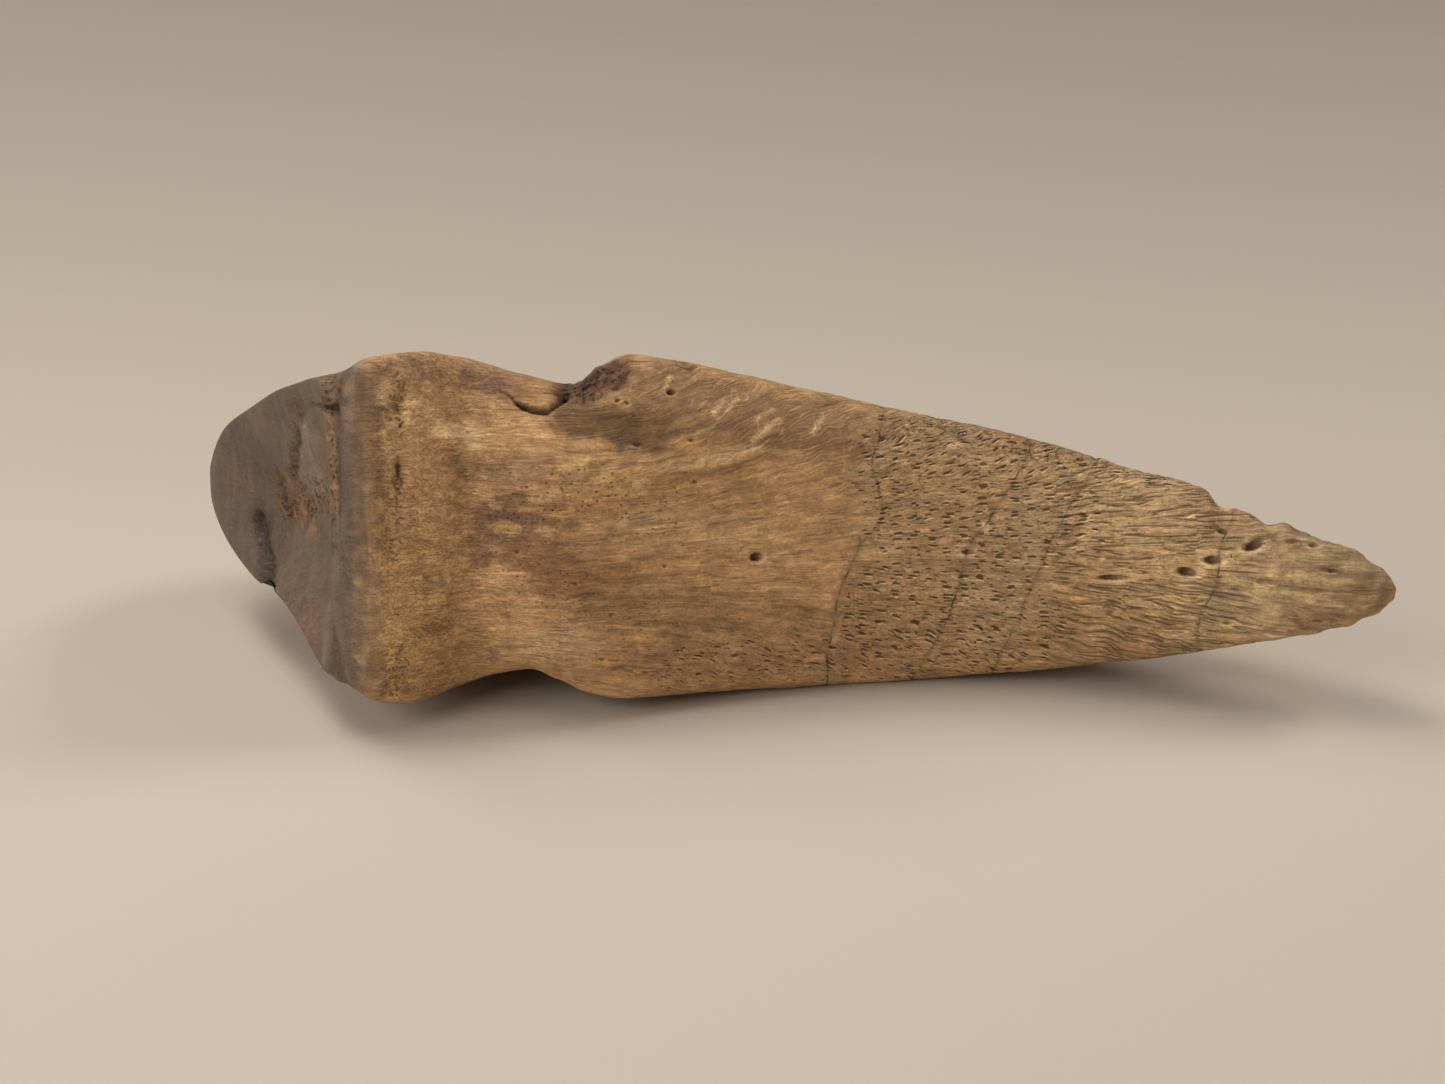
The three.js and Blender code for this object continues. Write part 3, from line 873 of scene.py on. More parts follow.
STAINS: tuple[Stain, ...] = (  # each lies over the ones before it
    # the body at large
    Stain(Pigment.UMBER, Blot((30, 0, 45), (120, 0, 20), (30, 30, 18), 0.5), 0.55),
    Stain(Pigment.ASH, Blot((45, -18, 24), (100, -12, 22), (26, 6, 8), 0.6), 0.6),
    Stain(Pigment.ASH, Blot((40, 18, 26), (105, 14, 20), (26, 6, 8), 0.6), 0.6),
    Stain(Pigment.OXBLOOD, spot(22, 4, 44, (12, 14, 6), 0.6), 0.5),
    # the joint
    Stain(Pigment.FACET, Blot((0, 0, 34), (20, 0, 2), (5, 30, 9), 0.15), 1.0),
    Stain(Pigment.TONGUE, Blot((3, -4, 29), (9, 4, 22), (5, 12, 5), 0.2), 0.7),
    Stain(Pigment.UMBER, Blot((8, -10, 20), (7, -2, 23), (1.0, 4, 1.6), 0.3), 0.3),
    Stain(Pigment.SLATE, Blot((16.2, -10, 11.5), (16.2, -3.4, 12.8), (2.8, 3.2, 3.4), 0.5), 0.95),
    Stain(Pigment.TONGUE, Blot((11, -12, 16), (11.5, 2, 20), (0.9, 3, 1.5), 0.4), 0.5),
    Stain(Pigment.TONGUE, Blot((16.5, 2, 11), (17.5, 12, 6), (1.0, 3, 1.7), 0.5), 0.35),
    Stain(Pigment.RUST, Blot((20.0, -17.4, 2.4), (20.2, -2.4, 1.5), (1.5, 1.4, 2.4), 1.1), 0.4),
    Stain(Pigment.BURNT, Blot((19.6, -17.0, 2.8), (20.0, -2.0, 1.8), (1.5, 1.6, 2.6), 1.3), 0.8, True),
    Stain(Pigment.SULPHUR, Blot((20.0, -12, 2.4), (20.2, -4, 1.8), (0.8, 1.2, 2.0), 1.4), 0.5, True),
    # painted shade in the crease just inside the rim
    Stain(Pigment.DARK, Blot((19.5, -17, 3.2), (20.0, -8.6, 2.2), (0.9, 1.2, 1.6), 1.3), 0.6, True),
    Stain(Pigment.DARK, Blot((20.0, -4.6, 1.8), (20.4, 1.6, 1.2), (0.7, 0.8, 1.0), 1.0), 0.7, True),
    Stain(Pigment.BURNT, Blot((15, -13.4, 10.8), (13.3, -4.2, 16.9), (1.0, 1.2, 1.4), 0.9), 0.6),
    Stain(Pigment.DARK, Blot((15, -13.2, 10.8), (13.4, -4.5, 16.8), (0.8, 0.9, 1.2), 0.8), 0.85, True),
    Stain(Pigment.BURNT, Blot((11.0, -1.4, 21.0), (14.4, -1.0, 16.8), (2.0, 2.4, 2.6), 1.0), 0.6),
    Stain(Pigment.RUST, Blot((12.6, -1.6, 19.0), (14.6, -0.6, 16.6), (2.0, 2.8, 2.6), 1.3), 0.5, True),
    Stain(Pigment.BURNT, Blot((17.0, -3.0, 12.6), (19.0, -1.0, 7.0), (1.4, 2.0, 2.6), 1.3), 0.6, True),
    Stain(Pigment.DARK, Blot((10.4, -2.2, 21.8), (11.6, 0.4, 20.6), (1.0, 1.8, 1.5), 1.0), 0.75, True),
    # painted shadow along the step on the joint's face
    Stain(Pigment.DARK, Blot((7.4, 1.6, 25.2), (9.4, 9.6, 18.8), (1.9, 1.8, 2.6), 0.6), 0.45),
    Stain(Pigment.DARK, Blot((7.6, 2.2, 25.0), (8.4, 4.9, 22.4), (1.1, 1.2, 1.5), 0.8), 0.7),
    Stain(Pigment.DARK, Blot((9.0, 6.2, 21.0), (9.6, 9.2, 18.6), (1.1, 1.2, 1.6), 0.7), 0.75),
    Stain(Pigment.DARK, spot(20.5, -14.4, 1.9, (0.9, 0.8, 0.9), 0.6), 0.9),
    Stain(Pigment.BURNT, Blot((19.8, 6, 3.4), (21.0, 15, 1.0), (0.7, 2.6, 1.4), 0.5), 0.4),
    Stain(Pigment.BURNT, Blot((16.4, 8, 9), (18.4, 15, 6), (0.7, 2.6, 1.4), 0.5), 0.35),
    Stain(Pigment.SLATE, Blot((17.6, 7, 7.4), (19.4, 14, 4.0), (1.0, 2.6, 1.4), 0.9), 0.35),
    Stain(Pigment.OXBLOOD, Blot((14, 8, 12.5), (16, 12, 9), (1.6, 3, 2.4), 0.8), 0.3),
    # the rim
    Stain(Pigment.FACET, Blot((22.6, -17, 0), (22.7, -1, 0), (2.0, 3, 4), 0.6), 1.0),
    Stain(Pigment.TONGUE, Blot((22.1, -18, 0), (22.4, 0, 0), (1.4, 3, 4), 0.6), 0.85),
    Stain(Pigment.FACET, Blot((22.2, 0, 0), (22.8, 15, 0), (1.9, 3, 4), 0.6), 0.75),
    Stain(Pigment.RIM, Blot((25.0, -16, 0), (24.8, 15, 0), (2.2, 3, 4), 1.0), 0.7),
    Stain(Pigment.RIM, Blot((26.6, -16, 0), (26.4, -1, 0), (2.4, 3, 4), 1.2), 0.75),
    Stain(Pigment.UMBER, Blot((25.6, -12, 0), (26.2, -4, 0), (1.3, 3, 4), 1.0), 0.4, True),
    Stain(Pigment.RUST, Blot((25.6, -10, 0), (25.6, 8, 0), (1.6, 3, 4), 1.2), 0.25, True),
    Stain(Pigment.OLIVE, Blot((26.0, -2, 0), (26.2, 3, 0), (1.2, 3, 4), 1.0), 0.25, True),
    Stain(Pigment.ASH, Blot((24.8, 3, 0), (25.2, 15, 0), (1.8, 3, 4), 1.0), 0.5, True),
    Stain(Pigment.FRESH, Blot((26.4, 4, 0), (27.4, 12, 1), (1.3, 3, 4), 1.2), 0.35, True),
    Stain(Pigment.FRESH, Blot((28.0, -16.6, 1), (27.8, -10.5, 1), (1.7, 1.6, 4), 1.0), 0.8),
    Stain(Pigment.SULPHUR, Blot((28.0, -17, 1), (27.6, -10.6, 1), (1.6, 1.6, 4), 1.0), 0.8, True),
    Stain(Pigment.SULPHUR, Blot((27.2, -4.5, 1), (26.6, 2, 1), (1.4, 1.6, 4), 1.0), 0.5, True),
    Stain(Pigment.SULPHUR, Blot((27.0, 10.4, 1), (27.4, 17.5, 1), (1.5, 1.6, 4), 1.0), 0.8, True),
    Stain(Pigment.RUST, face_spot(26.4, 0.5, 1.2, 2.4, 1.0), 0.35, True),
    Stain(Pigment.GOLDEN, Blot((27.6, -16, 1), (27.2, 14, 1), (1.7, 2, 5), 0.9), 0.6),
    # behind the rim and over the neck
    Stain(Pigment.GOLDEN, Blot((32, -12, 3), (31, 2, 2), (4.2, 4, 6), 0.8), 0.35),
    Stain(Pigment.SULPHUR, Blot((29, 4, 2), (29.6, 13, 3), (2.4, 3, 6), 0.8), 0.3),
    Stain(Pigment.UMBER, Blot((30, -10, 2), (34, 3, 2), (4, 4, 6), 1.3), 0.28),
    Stain(Pigment.OLIVE, Blot((33.4, -7.6, 3), (36.8, -7.2, 3), (1.7, 1.0, 6), 1.3), 0.3),
    Stain(Pigment.FRESH, Blot((33.0, -11.5, 3), (35.6, -10.9, 3), (2.0, 1.3, 6), 0.9), 0.95),
    Stain(Pigment.OLIVE, face_spot(31, 4.6, 1.9, 1.3, 0.9), 0.5, True),
    Stain(Pigment.OLIVE, face_spot(31.8, 10.2, 2.0, 1.6, 0.9), 0.5, True),
    Stain(Pigment.OXBLOOD, Blot((36.7, -2.6, 4), (36.3, 3, 4), (1.3, 1.4, 6), 1.0), 0.62),
    Stain(Pigment.UMBER, Blot((33, 6, 4), (38, 14, 4), (3, 2, 6), 1.0), 0.3),
    Stain(Pigment.ROSE, Blot((29, -18.4, 5), (39, -17, 9), (3, 1.9, 4.6), 0.7), 0.4),
    Stain(Pigment.BURNT, Blot((30, -18.4, 5), (40, -16, 7), (2, 0.8, 3), 1.1), 0.5, True),
    Stain(Pigment.OXBLOOD, Blot((35.2, -17.0, 7.2), (40.4, -15.2, 6.0), (1.4, 1.5, 3.4), 0.9), 0.6),
    Stain(Pigment.RUST, Blot((41.6, -16.4, 6), (45, -16.2, 7), (1.8, 1.6, 4), 0.4), 0.6),
    Stain(Pigment.GOLDEN, Blot((40, -10.5, 3), (47, -8.5, 3), (4.4, 2.4, 6), 0.5), 0.7),
    # the tendon's knob
    Stain(Pigment.ROSE, Blot((39, -7, 2), (47, -8, 2), (3.8, 2.2, 6), 0.8), 0.7),
    Stain(Pigment.BURNT, Blot((39.0, -4.0, 2), (44.6, -3.4, 2), (2.4, 0.7, 6), 1.2), 0.7),
    Stain(Pigment.BURNT, Blot((39.6, -1.9, 2), (46.0, -1.5, 2), (2.4, 0.6, 6), 1.2), 0.65),
    Stain(Pigment.EMBER, Blot((45, -3.0, 2), (51, -4.4, 2), (3.0, 1.4, 6), 1.2), 0.3),
    Stain(Pigment.OXBLOOD, Blot((41, 0.4, 2), (45, 4, 2), (3.8, 3.4, 6), 1.1), 0.75),
    Stain(Pigment.SULPHUR, Blot((37, 8, 3), (40, 14, 3), (1.6, 1.2, 6), 1.2), 0.5, True),
    Stain(Pigment.RUST, Blot((43, 3, 2), (50, 5, 2), (4.4, 3.6, 6), 0.9), 0.42),
    Stain(Pigment.ROSE, Blot((40, 8, 2), (46, 9, 2), (4, 3, 6), 0.7), 0.4),
    Stain(Pigment.SULPHUR, face_spot(39.3, -0.9, 1.9, 0.7, 0.9), 0.6),
    Stain(Pigment.SULPHUR, Blot((47, -8, 3), (53, -6, 3), (2, 1.2, 6), 0.8), 0.6),
    Stain(Pigment.ASH, Blot((40, 14, 3), (47, 12, 3), (3.4, 2.4, 6), 0.6), 0.55),
    # the right shoulder
    Stain(Pigment.OLIVE, Blot((47.4, -13.4, 4), (56, -11.4, 5), (3.8, 2.4, 6), 0.7), 0.95),
    Stain(Pigment.OXBLOOD, Blot((46.6, -15.9, 7), (51.6, -17.6, 6.6), (2.4, 2.0, 4), 0.5), 0.95),
    Stain(Pigment.RUST, Blot((47, -15.6, 7), (51, -17, 6.6), (2.0, 1.4, 4), 1.0), 0.5, True),
    Stain(Pigment.DARK, Blot((46.8, -16.2, 7), (51, -17.4, 7), (1.8, 1.4, 3), 0.9), 0.7, True),
    *(Stain(Pigment.DARK, nick, 0.7, True) for nick in edge_nicks(0.8)),
    Stain(Pigment.ROSE, Blot((56, -15.5, 7), (78, -10.5, 10), (4.6, 3.4, 6), 0.4), 0.66),
    Stain(Pigment.UMBER, Blot((57, -11.6, 5), (72, -9.6, 9), (3, 1.0, 6), 0.8), 0.45),
    Stain(Pigment.RUST, Blot((50, -3.4, 3), (68, -8, 8), (3, 0.9, 6), 0.8), 0.5),
    Stain(Pigment.FRESH, Blot((58, -7.6, 5), (66, -8.6, 8), (3, 0.8, 6), 1.0), 0.45),
    Stain(Pigment.SULPHUR, Blot((48, -4.4, 5), (60, -5.4, 6), (3, 0.7, 6), 1.0), 0.45),
    # pale strokes on the shoulder: scratches and painted glints
    Stain(Pigment.FRESH, Blot((66.9, -10.0, 8), (69.7, -12.2, 8), (0.36, 0.36, 4), 0.15), 0.7),
    *(
        Stain(Pigment.FRESH, Blot(start, end, (0.33, 0.33, 4), 0.15), 0.6)
        for start, end in SHOULDER_SCRATCHES_AND_GLINTS
    ),
    # the middle
    Stain(Pigment.TAN, Blot((55, -1, 4), (70, 1, 8), (5, 2, 6), 0.8), 0.35),
    Stain(Pigment.UMBER, Blot((54, 9, 4), (74, 11, 9), (7, 3, 6), 0.7), 0.45),
    Stain(Pigment.ROSE, Blot((50, 15, 4), (76, 15.5, 10), (8, 2.4, 6), 0.6), 0.42),
    Stain(Pigment.EMBER, Blot((50.4, 14.5, 4), (52.4, 14.1, 4), (0.7, 0.5, 6), 0.8), 0.9),
    # the pitted stretch and the point
    Stain(Pigment.TAN, Blot((84, -9, 12), (100, -6, 11), (6, 2.4, 6), 0.6), 0.45),
    Stain(Pigment.FRESH, Blot((108, -6.6, 9), (116, -3.4, 8), (2.4, 1.2, 6), 0.7), 0.3),
    Stain(Pigment.TAN, Blot((85, 0, 11), (104, 2, 10), (7, 14, 12), 0.8), 0.5),
    Stain(Pigment.UMBER, Blot((82, 12, 11), (100, 12, 10), (9, 4.4, 6), 0.6), 0.22),
    Stain(Pigment.TAN, Blot((107, 4, 9), (122, 5, 7), (5, 12, 12), 0.5), 0.65),
    Stain(Pigment.FRESH, spot(93.5, 0.4, 10, (0.45, 0.45, 4), 0.6), 0.9),
    Stain(Pigment.ASH, Blot((99, 0, 10), (94.5, 12, 10), (3.6, 4, 6), 0.4), 0.7),
    Stain(Pigment.FILL, Blot((91, 6, 11), (87.6, 15, 11), (1.1, 1, 6), 0.5), 0.4),
    Stain(Pigment.GOLDEN, Blot((106, 6, 9), (114, 8, 8), (4, 5, 6), 0.7), 0.4),
    Stain(Pigment.SKIN, Blot((127, 4, 5), (140, 4, 4), (5, 16, 20), 0.3), 0.85),
    Stain(Pigment.FILL, Blot((119.4, 7, 7), (117.6, 14, 8), (2.6, 2, 6), 0.6), 0.5),
    Stain(Pigment.FRESH, Blot((109, -2, 9), (122, 8, 7), (6, 8, 10), 0.9), 0.4),
    Stain(Pigment.PALE, Blot((121, 8.6, 6), (127, 7.6, 5), (3, 3, 6), 0.8), 0.7),
    Stain(Pigment.PALE, Blot((128.6, 2.6, 4), (133.4, 3.4, 4), (2.2, 0.4, 6), 1.2), 0.9),
    Stain(Pigment.PALE, Blot((128.4, 4.9, 4), (133.6, 5.3, 4), (2.2, 0.3, 6), 1.2), 0.8),
    Stain(Pigment.FRESH, Blot((127.4, 6.8, 4), (131.6, 8.0, 4), (1.6, 0.3, 6), 1.0), 0.5),
    Stain(Pigment.OLIVE, Blot((126.0, 5.6, 4), (130.0, 6.4, 4), (1.6, 0.4, 6), 1.2), 0.4),
    Stain(Pigment.OLIVE, Blot((128.0, 8.6, 4), (132.6, 9.6, 4), (2.0, 0.4, 6), 1.2), 0.4),
    Stain(Pigment.BURNT, Blot((131.0, 3.9, 4), (132.8, 4.3, 4), (0.6, 0.3, 6), 1.0), 0.8),
    Stain(Pigment.BURNT, Blot((123.5, -1.6, 6), (125.4, -0.6, 6), (0.6, 0.4, 4), 1.0), 0.7, True),
    Stain(Pigment.BURNT, spot(127.6, 1.0, 5, (0.7, 0.4, 4), 0.8), 0.7),
)

CARVINGS: tuple[Carving, ...] = (
    # the step on the joint's face
    Carving(-0.9, Blot((7.5, 2.0, 25.2), (8.3, 5.2, 22.4), (0.8, 1.0, 1.3), 0.35)),
    Carving(-0.9, Blot((8.9, 6.0, 21.2), (9.4, 9.2, 18.6), (0.9, 1.0, 1.3), 0.3)),
    # the row of worn spots, the crumbled patch and the plateau
    Carving(-0.3, Blot((15, -13.2, 10.8), (13.4, -4.5, 16.8), (0.5, 0.8, 0.9), 0.9)),
    Carving(-0.22, Blot((11.2, -1.6, 20.6), (14.6, -0.8, 16.6), (1.5, 2.0, 1.9), 1.2)),
    Carving(0.35, Blot((16.2, -10, 11.5), (16, -4.2, 13.4), (2.2, 2.4, 2.6), 0.2)),
    Carving(-0.3, Blot((20.2, -17.4, 2.2), (20.3, -2.6, 1.4), (0.9, 1.5, 2), 1.0)),
    Carving(-0.5, spot(20.5, -14.4, 1.9, (0.5, 0.6, 0.6), 0.4)),
    # the rounded rim, its edge and the folds below
    Carving(0.45, Blot((22.7, -18, 0), (22.6, -1, 0.2), (1.4, 3, 2.6), 0.1)),
    Carving(0.3, Blot((21.6, 0, 0.4), (22.2, 15, 0), (1.7, 3, 2.6), 0.2)),
    Carving(0.36, Blot((17.4, 6.4, 7.6), (19.4, 16, 3.6), (1.1, 3, 1.6), 0.5)),
    Carving(-0.3, Blot((18.9, 5, 5.0), (20.6, 15.6, 1.6), (0.8, 3, 1.3), 0.5)),
    # the spongy break
    Carving(-0.5, Blot((46.6, -15.9, 7), (51.4, -17.4, 6.8), (1.8, 1.5, 3.6), 0.6)),
    # shallow pits behind the rim
    Carving(-0.3, Blot((28.0, -15.4, 1), (27.6, -13.6, 1), (0.7, 1.0, 4), 0.9)),
    Carving(-0.3, Blot((28.0, -8.4, 1), (27.8, -6.2, 1), (0.5, 1.0, 4), 0.9)),
    Carving(-0.3, face_spot(31.4, 4.6, 1.2, 0.9, 0.5)),
    Carving(-0.2, face_spot(32.0, 10.4, 1.4, 1.0, 0.6)),
    Carving(0.25, Blot((30, -12, 3), (33, 4, 3), (2.6, 4, 6), 0.5)),
    # worn spots, lumps and nicks along the edges of the pointed end
    Carving(-0.35, Blot((110.4, -6.6, 8), (112.6, -5.8, 8), (0.9, 0.5, 3), 0.9)),
    Carving(-0.3, Blot((127.2, -0.2, 5), (129.6, 0.2, 5), (0.9, 0.6, 3), 0.8)),
    Carving(0.4, Blot((124.0, -0.6, 5), (127.0, 0.2, 5), (1.1, 0.8, 3), 0.6)),
    Carving(0.3, Blot((122.4, 8.4, 6), (126.6, 9.0, 6), (1.4, 0.8, 3), 0.8)),
    *(Carving(-0.5, nick) for nick in edge_nicks(0.7)),
    Carving(-0.3, Blot((69.6, -16.2, 9), (71.0, -15.8, 9), (0.5, 0.5, 2.5), 0.7)),
)

REGIONS: dict[Finish, tuple[tuple[float, Blot], ...]] = {  # how much, and where
    Finish.PITTED: (
        (0.9, Blot((86, -6, 11), (101, -3, 9), (7.5, 10, 9), 0.35)),
        (0.8, Blot((84, 11, 10), (96, 12, 9), (7, 8, 9), 0.35)),
        (0.8, Blot((98, -9.6, 10), (113, -6.0, 9), (5, 2.0, 8), 0.4)),
        (0.4, Blot((62, 16, 9), (80, 16, 10), (10, 4, 8), 0.6)),
        (0.16, Blot((46, 0, 44), (110, 0, 26), (30, 30, 24), 0.6)),
    ),
    Finish.FIBROUS: (
        (0.14, Blot((44, 0, 4), (90, 0, 10), (12, 30, 40), 0.4)),
        (0.3, Blot((88, 0, 10), (106, 0, 10), (8, 24, 24), 0.3)),
        (1.0, Blot((107, 4, 9), (118, 5, 7), (7, 16, 16), 0.3)),
        (0.16, Blot((126, 4, 9), (136, 5, 5), (5, 16, 16), 0.3)),
    ),
    Finish.CRUMBLY: (
        (0.6, Blot((28, -17, 1), (27.6, -11.5, 1), (1.2, 1.5, 4), 1.0)),
        (0.7, Blot((27.3, 12.8, 1), (27.3, 17.5, 1), (1.2, 1.5, 4), 0.9)),
        (0.6, Blot((27.4, -8, 1), (26.8, 1.6, 1), (1.0, 1.2, 4), 1.0)),
        (0.9, Blot((20.1, -17.4, 2.4), (20.2, -2.6, 1.4), (1.0, 1.5, 2.2), 0.5)),
        (0.9, Blot((11.0, -1.6, 21.0), (14.6, -0.8, 16.4), (1.8, 2.4, 2.4), 1.1)),
        (0.6, Blot((17.0, -3.0, 12.6), (19.0, -1.0, 7.0), (1.4, 2.0, 2.6), 1.1)),
        (0.8, Blot((15, -13.2, 10.8), (13.4, -4.5, 16.8), (0.9, 1.1, 1.3), 0.6)),
        (1.0, Blot((46.6, -15.9, 7), (51.6, -17.6, 7), (2.4, 1.9, 4), 0.6)),
        (0.3, Blot((40, -3, 2), (50, -5, 3), (4, 4, 6), 1.1)),
        (0.85, Blot((88, -11.2, 11), (110, -6.6, 10), (5, 1.7, 5), 0.8)),
        (0.3, Blot((10, 0, 45), (40, 0, 46), (10, 18, 8), 0.8)),
    ),
    Finish.SCRATCHED: (
        (1.0, Blot((57, -15.6, 7), (72, -11.5, 10), (4.6, 2.8, 6), 0.4)),
        (0.4, Blot((60, -7.6, 6), (70, -8, 8), (4, 1.6, 6), 0.6)),
    ),
    Finish.POROUS: (
        (1.0, Blot((46, -5, 3), (57, -3, 4), (5, 4, 6), 0.8)),
        (0.7, Blot((40, -4, 2), (44, 5, 2), (5, 5, 6), 1.0)),
        (0.6, Blot((27.6, -8, 1), (28.6, 4, 1), (2.4, 3, 6), 0.9)),
        (0.5, Blot((48, 8, 4), (60, 12, 5), (7, 6, 6), 1.0)),
        (0.4, Blot((20, 0, 45), (120, 0, 24), (20, 20, 20), 1.0)),
    ),
    Finish.POLISHED: (
        (1.0, Blot((0, 0, 34), (21, 0, 1), (5, 30, 9), 0.2)),
        (0.9, Blot((22.7, -18, 0), (22.7, 16, 0), (2.2, 4, 5), 0.2)),
        (0.5, Blot((57, -15.6, 7), (74, -11.5, 10), (4.6, 2.8, 6), 0.4)),
        (0.35, Blot((133, 4, 4), (140, 4, 4), (6, 14, 18), 0.3)),
    ),
}


# ---------------------------------------------------------------- vessel pits


@dataclass(frozen=True)
class VesselTexture:
    """The pits, wrinkles and crumbled pores of the bone's skin, as a Geometry Nodes tree.

    Lengths are in millimetres. The same patterns shape the mesh and colour the finish.
    """

    pit_length: float = 1.9
    pit_width: float = 0.46
    pit_depth: float = 0.08
    bare_share: float = 0.1  # how much of the bone's skin has no pit, where it is most pitted
    smallest_pit: float = 0.09  # its radius as a share of a cell, as the largest one's
    largest_pit: float = 0.33
    pit_floor: float = 0.6  # the share of a pit's radius that is flat
    wrinkle_length: float = 9.0
    wrinkle_width: float = 0.72
    wrinkle_depth: float = 0.1
    pore_size: float = 0.6
    pore_depth: float = 0.22
    stretch: float = 8.0
    stretch_wander: float = 5.0  # how unevenly the stretches end
    stretch_shift: float = 7.3  # how far the lines move from one stretch to the next
    sway: float = 0.45
    seed: int = 4

    def fanned(self, board: Board, skin: Socket) -> Socket:
        """Turns the grain so that it fans out towards the point.

        The claw is taken stretch by stretch, so the cells keep their size as the lines part.

        Args:
            board: the tree to build in, of a finish or of the geometry.
            skin: the place along the claw, the place round it and how fast the lines part.

        Returns:
            The place along the grain and across it.
        """
        wander = board.noise(skin, Scale=0.3, Detail=1.0)
        sway = board.noise(board.vector("MULTIPLY", skin, (0.25, 0.3, 0.0)), Detail=1.0)
        along, around, rate = board.split(skin)
        moved = board.plus_share(wander, self.stretch_wander, along)
        which = board.math("FLOOR", board.math("DIVIDE", moved, self.stretch))
        start = board.times(which, self.stretch)
        local = board.math("SUBTRACT", board.math("SUBTRACT", moved, start), self.stretch / 2)
        across = board.times(around, board.math("SUBTRACT", 1.0, board.times(local, rate)))
        across = board.plus_share(which, self.stretch_shift, across)
        across = board.plus_share(sway, self.sway, across)
        return board.add("ShaderNodeCombineXYZ", {0: along, 1: across}).outputs[0]

    def pit(self, board: Board, place: Socket, amount: Socket) -> Socket:
        """Adds the pits: short strokes along the grain.

        Args:
            board: the tree to build in, of a finish or of the geometry.
            place: the place along the grain and across it.
            amount: how pitted the bone is there, from 0 to 1.

        Returns:
            1 on a pit's floor and 0 between the pits.
        """
        scaled = board.vector("MULTIPLY", place, (1 / self.pit_length, 1 / self.pit_width, 0.0))
        noise = board.noise(scaled, "Color", Scale=0.9, Detail=1.0)
        warp = board.vector("MULTIPLY", board.vector("SUBTRACT", noise, GREY), (0.5, 0.55, 0.0))
        shift = (self.seed * 3.7, self.seed * 5.1, 0.0)
        moved = board.vector("ADD", board.vector("ADD", scaled, warp), shift)
        distance, chances = board.cells(moved)
        chance = board.split(chances)[0]
        reach = board.ramp(chance, self.bare_share, 1.0, self.smallest_pit, self.largest_pit)
        radius = board.times(reach, board.ramp(amount, 0.0, 0.7, 0.3, 1.0))
        inner = board.ramp(distance, board.times(radius, self.pit_floor), radius, 1.0, 0.0)
        return board.times(inner, board.ramp(amount, 0.05, 0.3, 0.0, 1.0))

    def fold(self, board: Board, place: Socket) -> Socket:
        """Adds long smooth waves along the grain.

        Args:
            board: the tree to build in, of a finish or of the geometry.
            place: the place along the grain and across it.

        Returns:
            0 in each valley, and more between.
        """
        size = (1 / self.wrinkle_length, 1 / self.wrinkle_width, 0.0)
        scaled = board.vector("MULTIPLY", place, size)
        return board.from_middle(board.noise(scaled, Detail=0.6, Roughness=0.5, Distortion=0.08))

    def furrow(self, board: Board, place: Socket, fold: Socket) -> Socket:
        """Adds the long wrinkles, broken here and there.

        Args:
            board: the tree to build in, of a finish or of the geometry.
            place: the place along the grain and across it.
            fold: the waves, in whose valleys the wrinkles lie.

        Returns:
            1 in a wrinkle and 0 on the bone between.
        """
        line = board.ramp(fold, 0.0, 0.058, 1.0, 0.0)
        broken = board.noise(board.vector("MULTIPLY", place, (0.32, 0.9, 0.0)), Detail=2.0)
        return board.times(line, board.ramp(broken, 0.38, 0.52, 0.0, 1.0))

    def pore(self, board: Board, flow: Socket) -> Socket:
        """Adds crumbled pores between thin walls.

        Args:
            board: the tree to build in, of a finish or of the geometry.
            flow: the place in the claw's axes.

        Returns:
            1 in a pore and 0 on its walls.
        """
        place = board.vector("MULTIPLY", flow, (1 / self.pore_size,) * 3)
        noise = board.noise(place, "Color", flat=False, Scale=1.1, Detail=2.0)
        warp = board.vector("MULTIPLY", board.vector("SUBTRACT", noise, GREY), (1.6, 1.6, 1.6))
        distance, _ = board.cells(board.vector("ADD", place, warp), flat=False)
        return board.ramp(distance, 0.12, 0.5, 1.0, 0.0)

    def depths(self) -> dict[str, float]:
        """The tree's named inputs and their sizes."""
        return {
            "Pit Depth": self.pit_depth,
            "Wrinkle Depth": self.wrinkle_depth,
            "Pore Depth": self.pore_depth,
        }

    def tree(self, finish: bpy.types.Material) -> bpy.types.NodeTree:
        """Builds the tree, with named inputs for its depths.

        Args:
            finish: the material that the bone gets.

        Returns:
            The geometry tree.
        """
        tree = bpy.data.node_groups.new("vessel_texture", "GeometryNodeTree")
        face = tree.interface
        face.new_socket("Geometry", in_out="INPUT", socket_type="NodeSocketGeometry")
        for name, size in self.depths().items():
            socket = face.new_socket(name, in_out="INPUT", socket_type="NodeSocketFloat")
            socket.default_value = size
        face.new_socket("Geometry", in_out="OUTPUT", socket_type="NodeSocketGeometry")
        board = Board(tree)
        start = board.add("NodeGroupInput")
        pitted, fibrous, crumbly = board.split(read_attribute(board, "masks"))
        place = self.fanned(board, read_attribute(board, "skin"))
        furrow = self.furrow(board, place, self.fold(board, place))
        pore = self.pore(board, read_attribute(board, "flow"))
        sunk = board.times(self.pit(board, place, pitted), start.outputs["Pit Depth"])
        wrinkle_depth, pore_depth = start.outputs["Wrinkle Depth"], start.outputs["Pore Depth"]
        sunk = board.plus_share(board.times(furrow, fibrous), wrinkle_depth, sunk)
        sunk = board.plus_share(board.times(pore, crumbly), pore_depth, sunk)
        normal = board.add("GeometryNodeInputNormal").outputs["Normal"]
        offset = board.scaled(normal, board.times(sunk, -MM))
        inputs = {"Geometry": start.outputs["Geometry"], "Offset": offset}
        moved = board.add("GeometryNodeSetPosition", inputs)
        smooth = board.add("GeometryNodeSetShadeSmooth", {"Geometry": moved.outputs[0]})
        real = board.add("GeometryNodeRealizeInstances", {"Geometry": smooth.outputs[0]})
        inputs = {"Geometry": real.outputs[0], "Material": finish}
        dressed = board.add("GeometryNodeSetMaterial", inputs)
        board.add("NodeGroupOutput", {0: dressed.outputs[0]})
        return tree


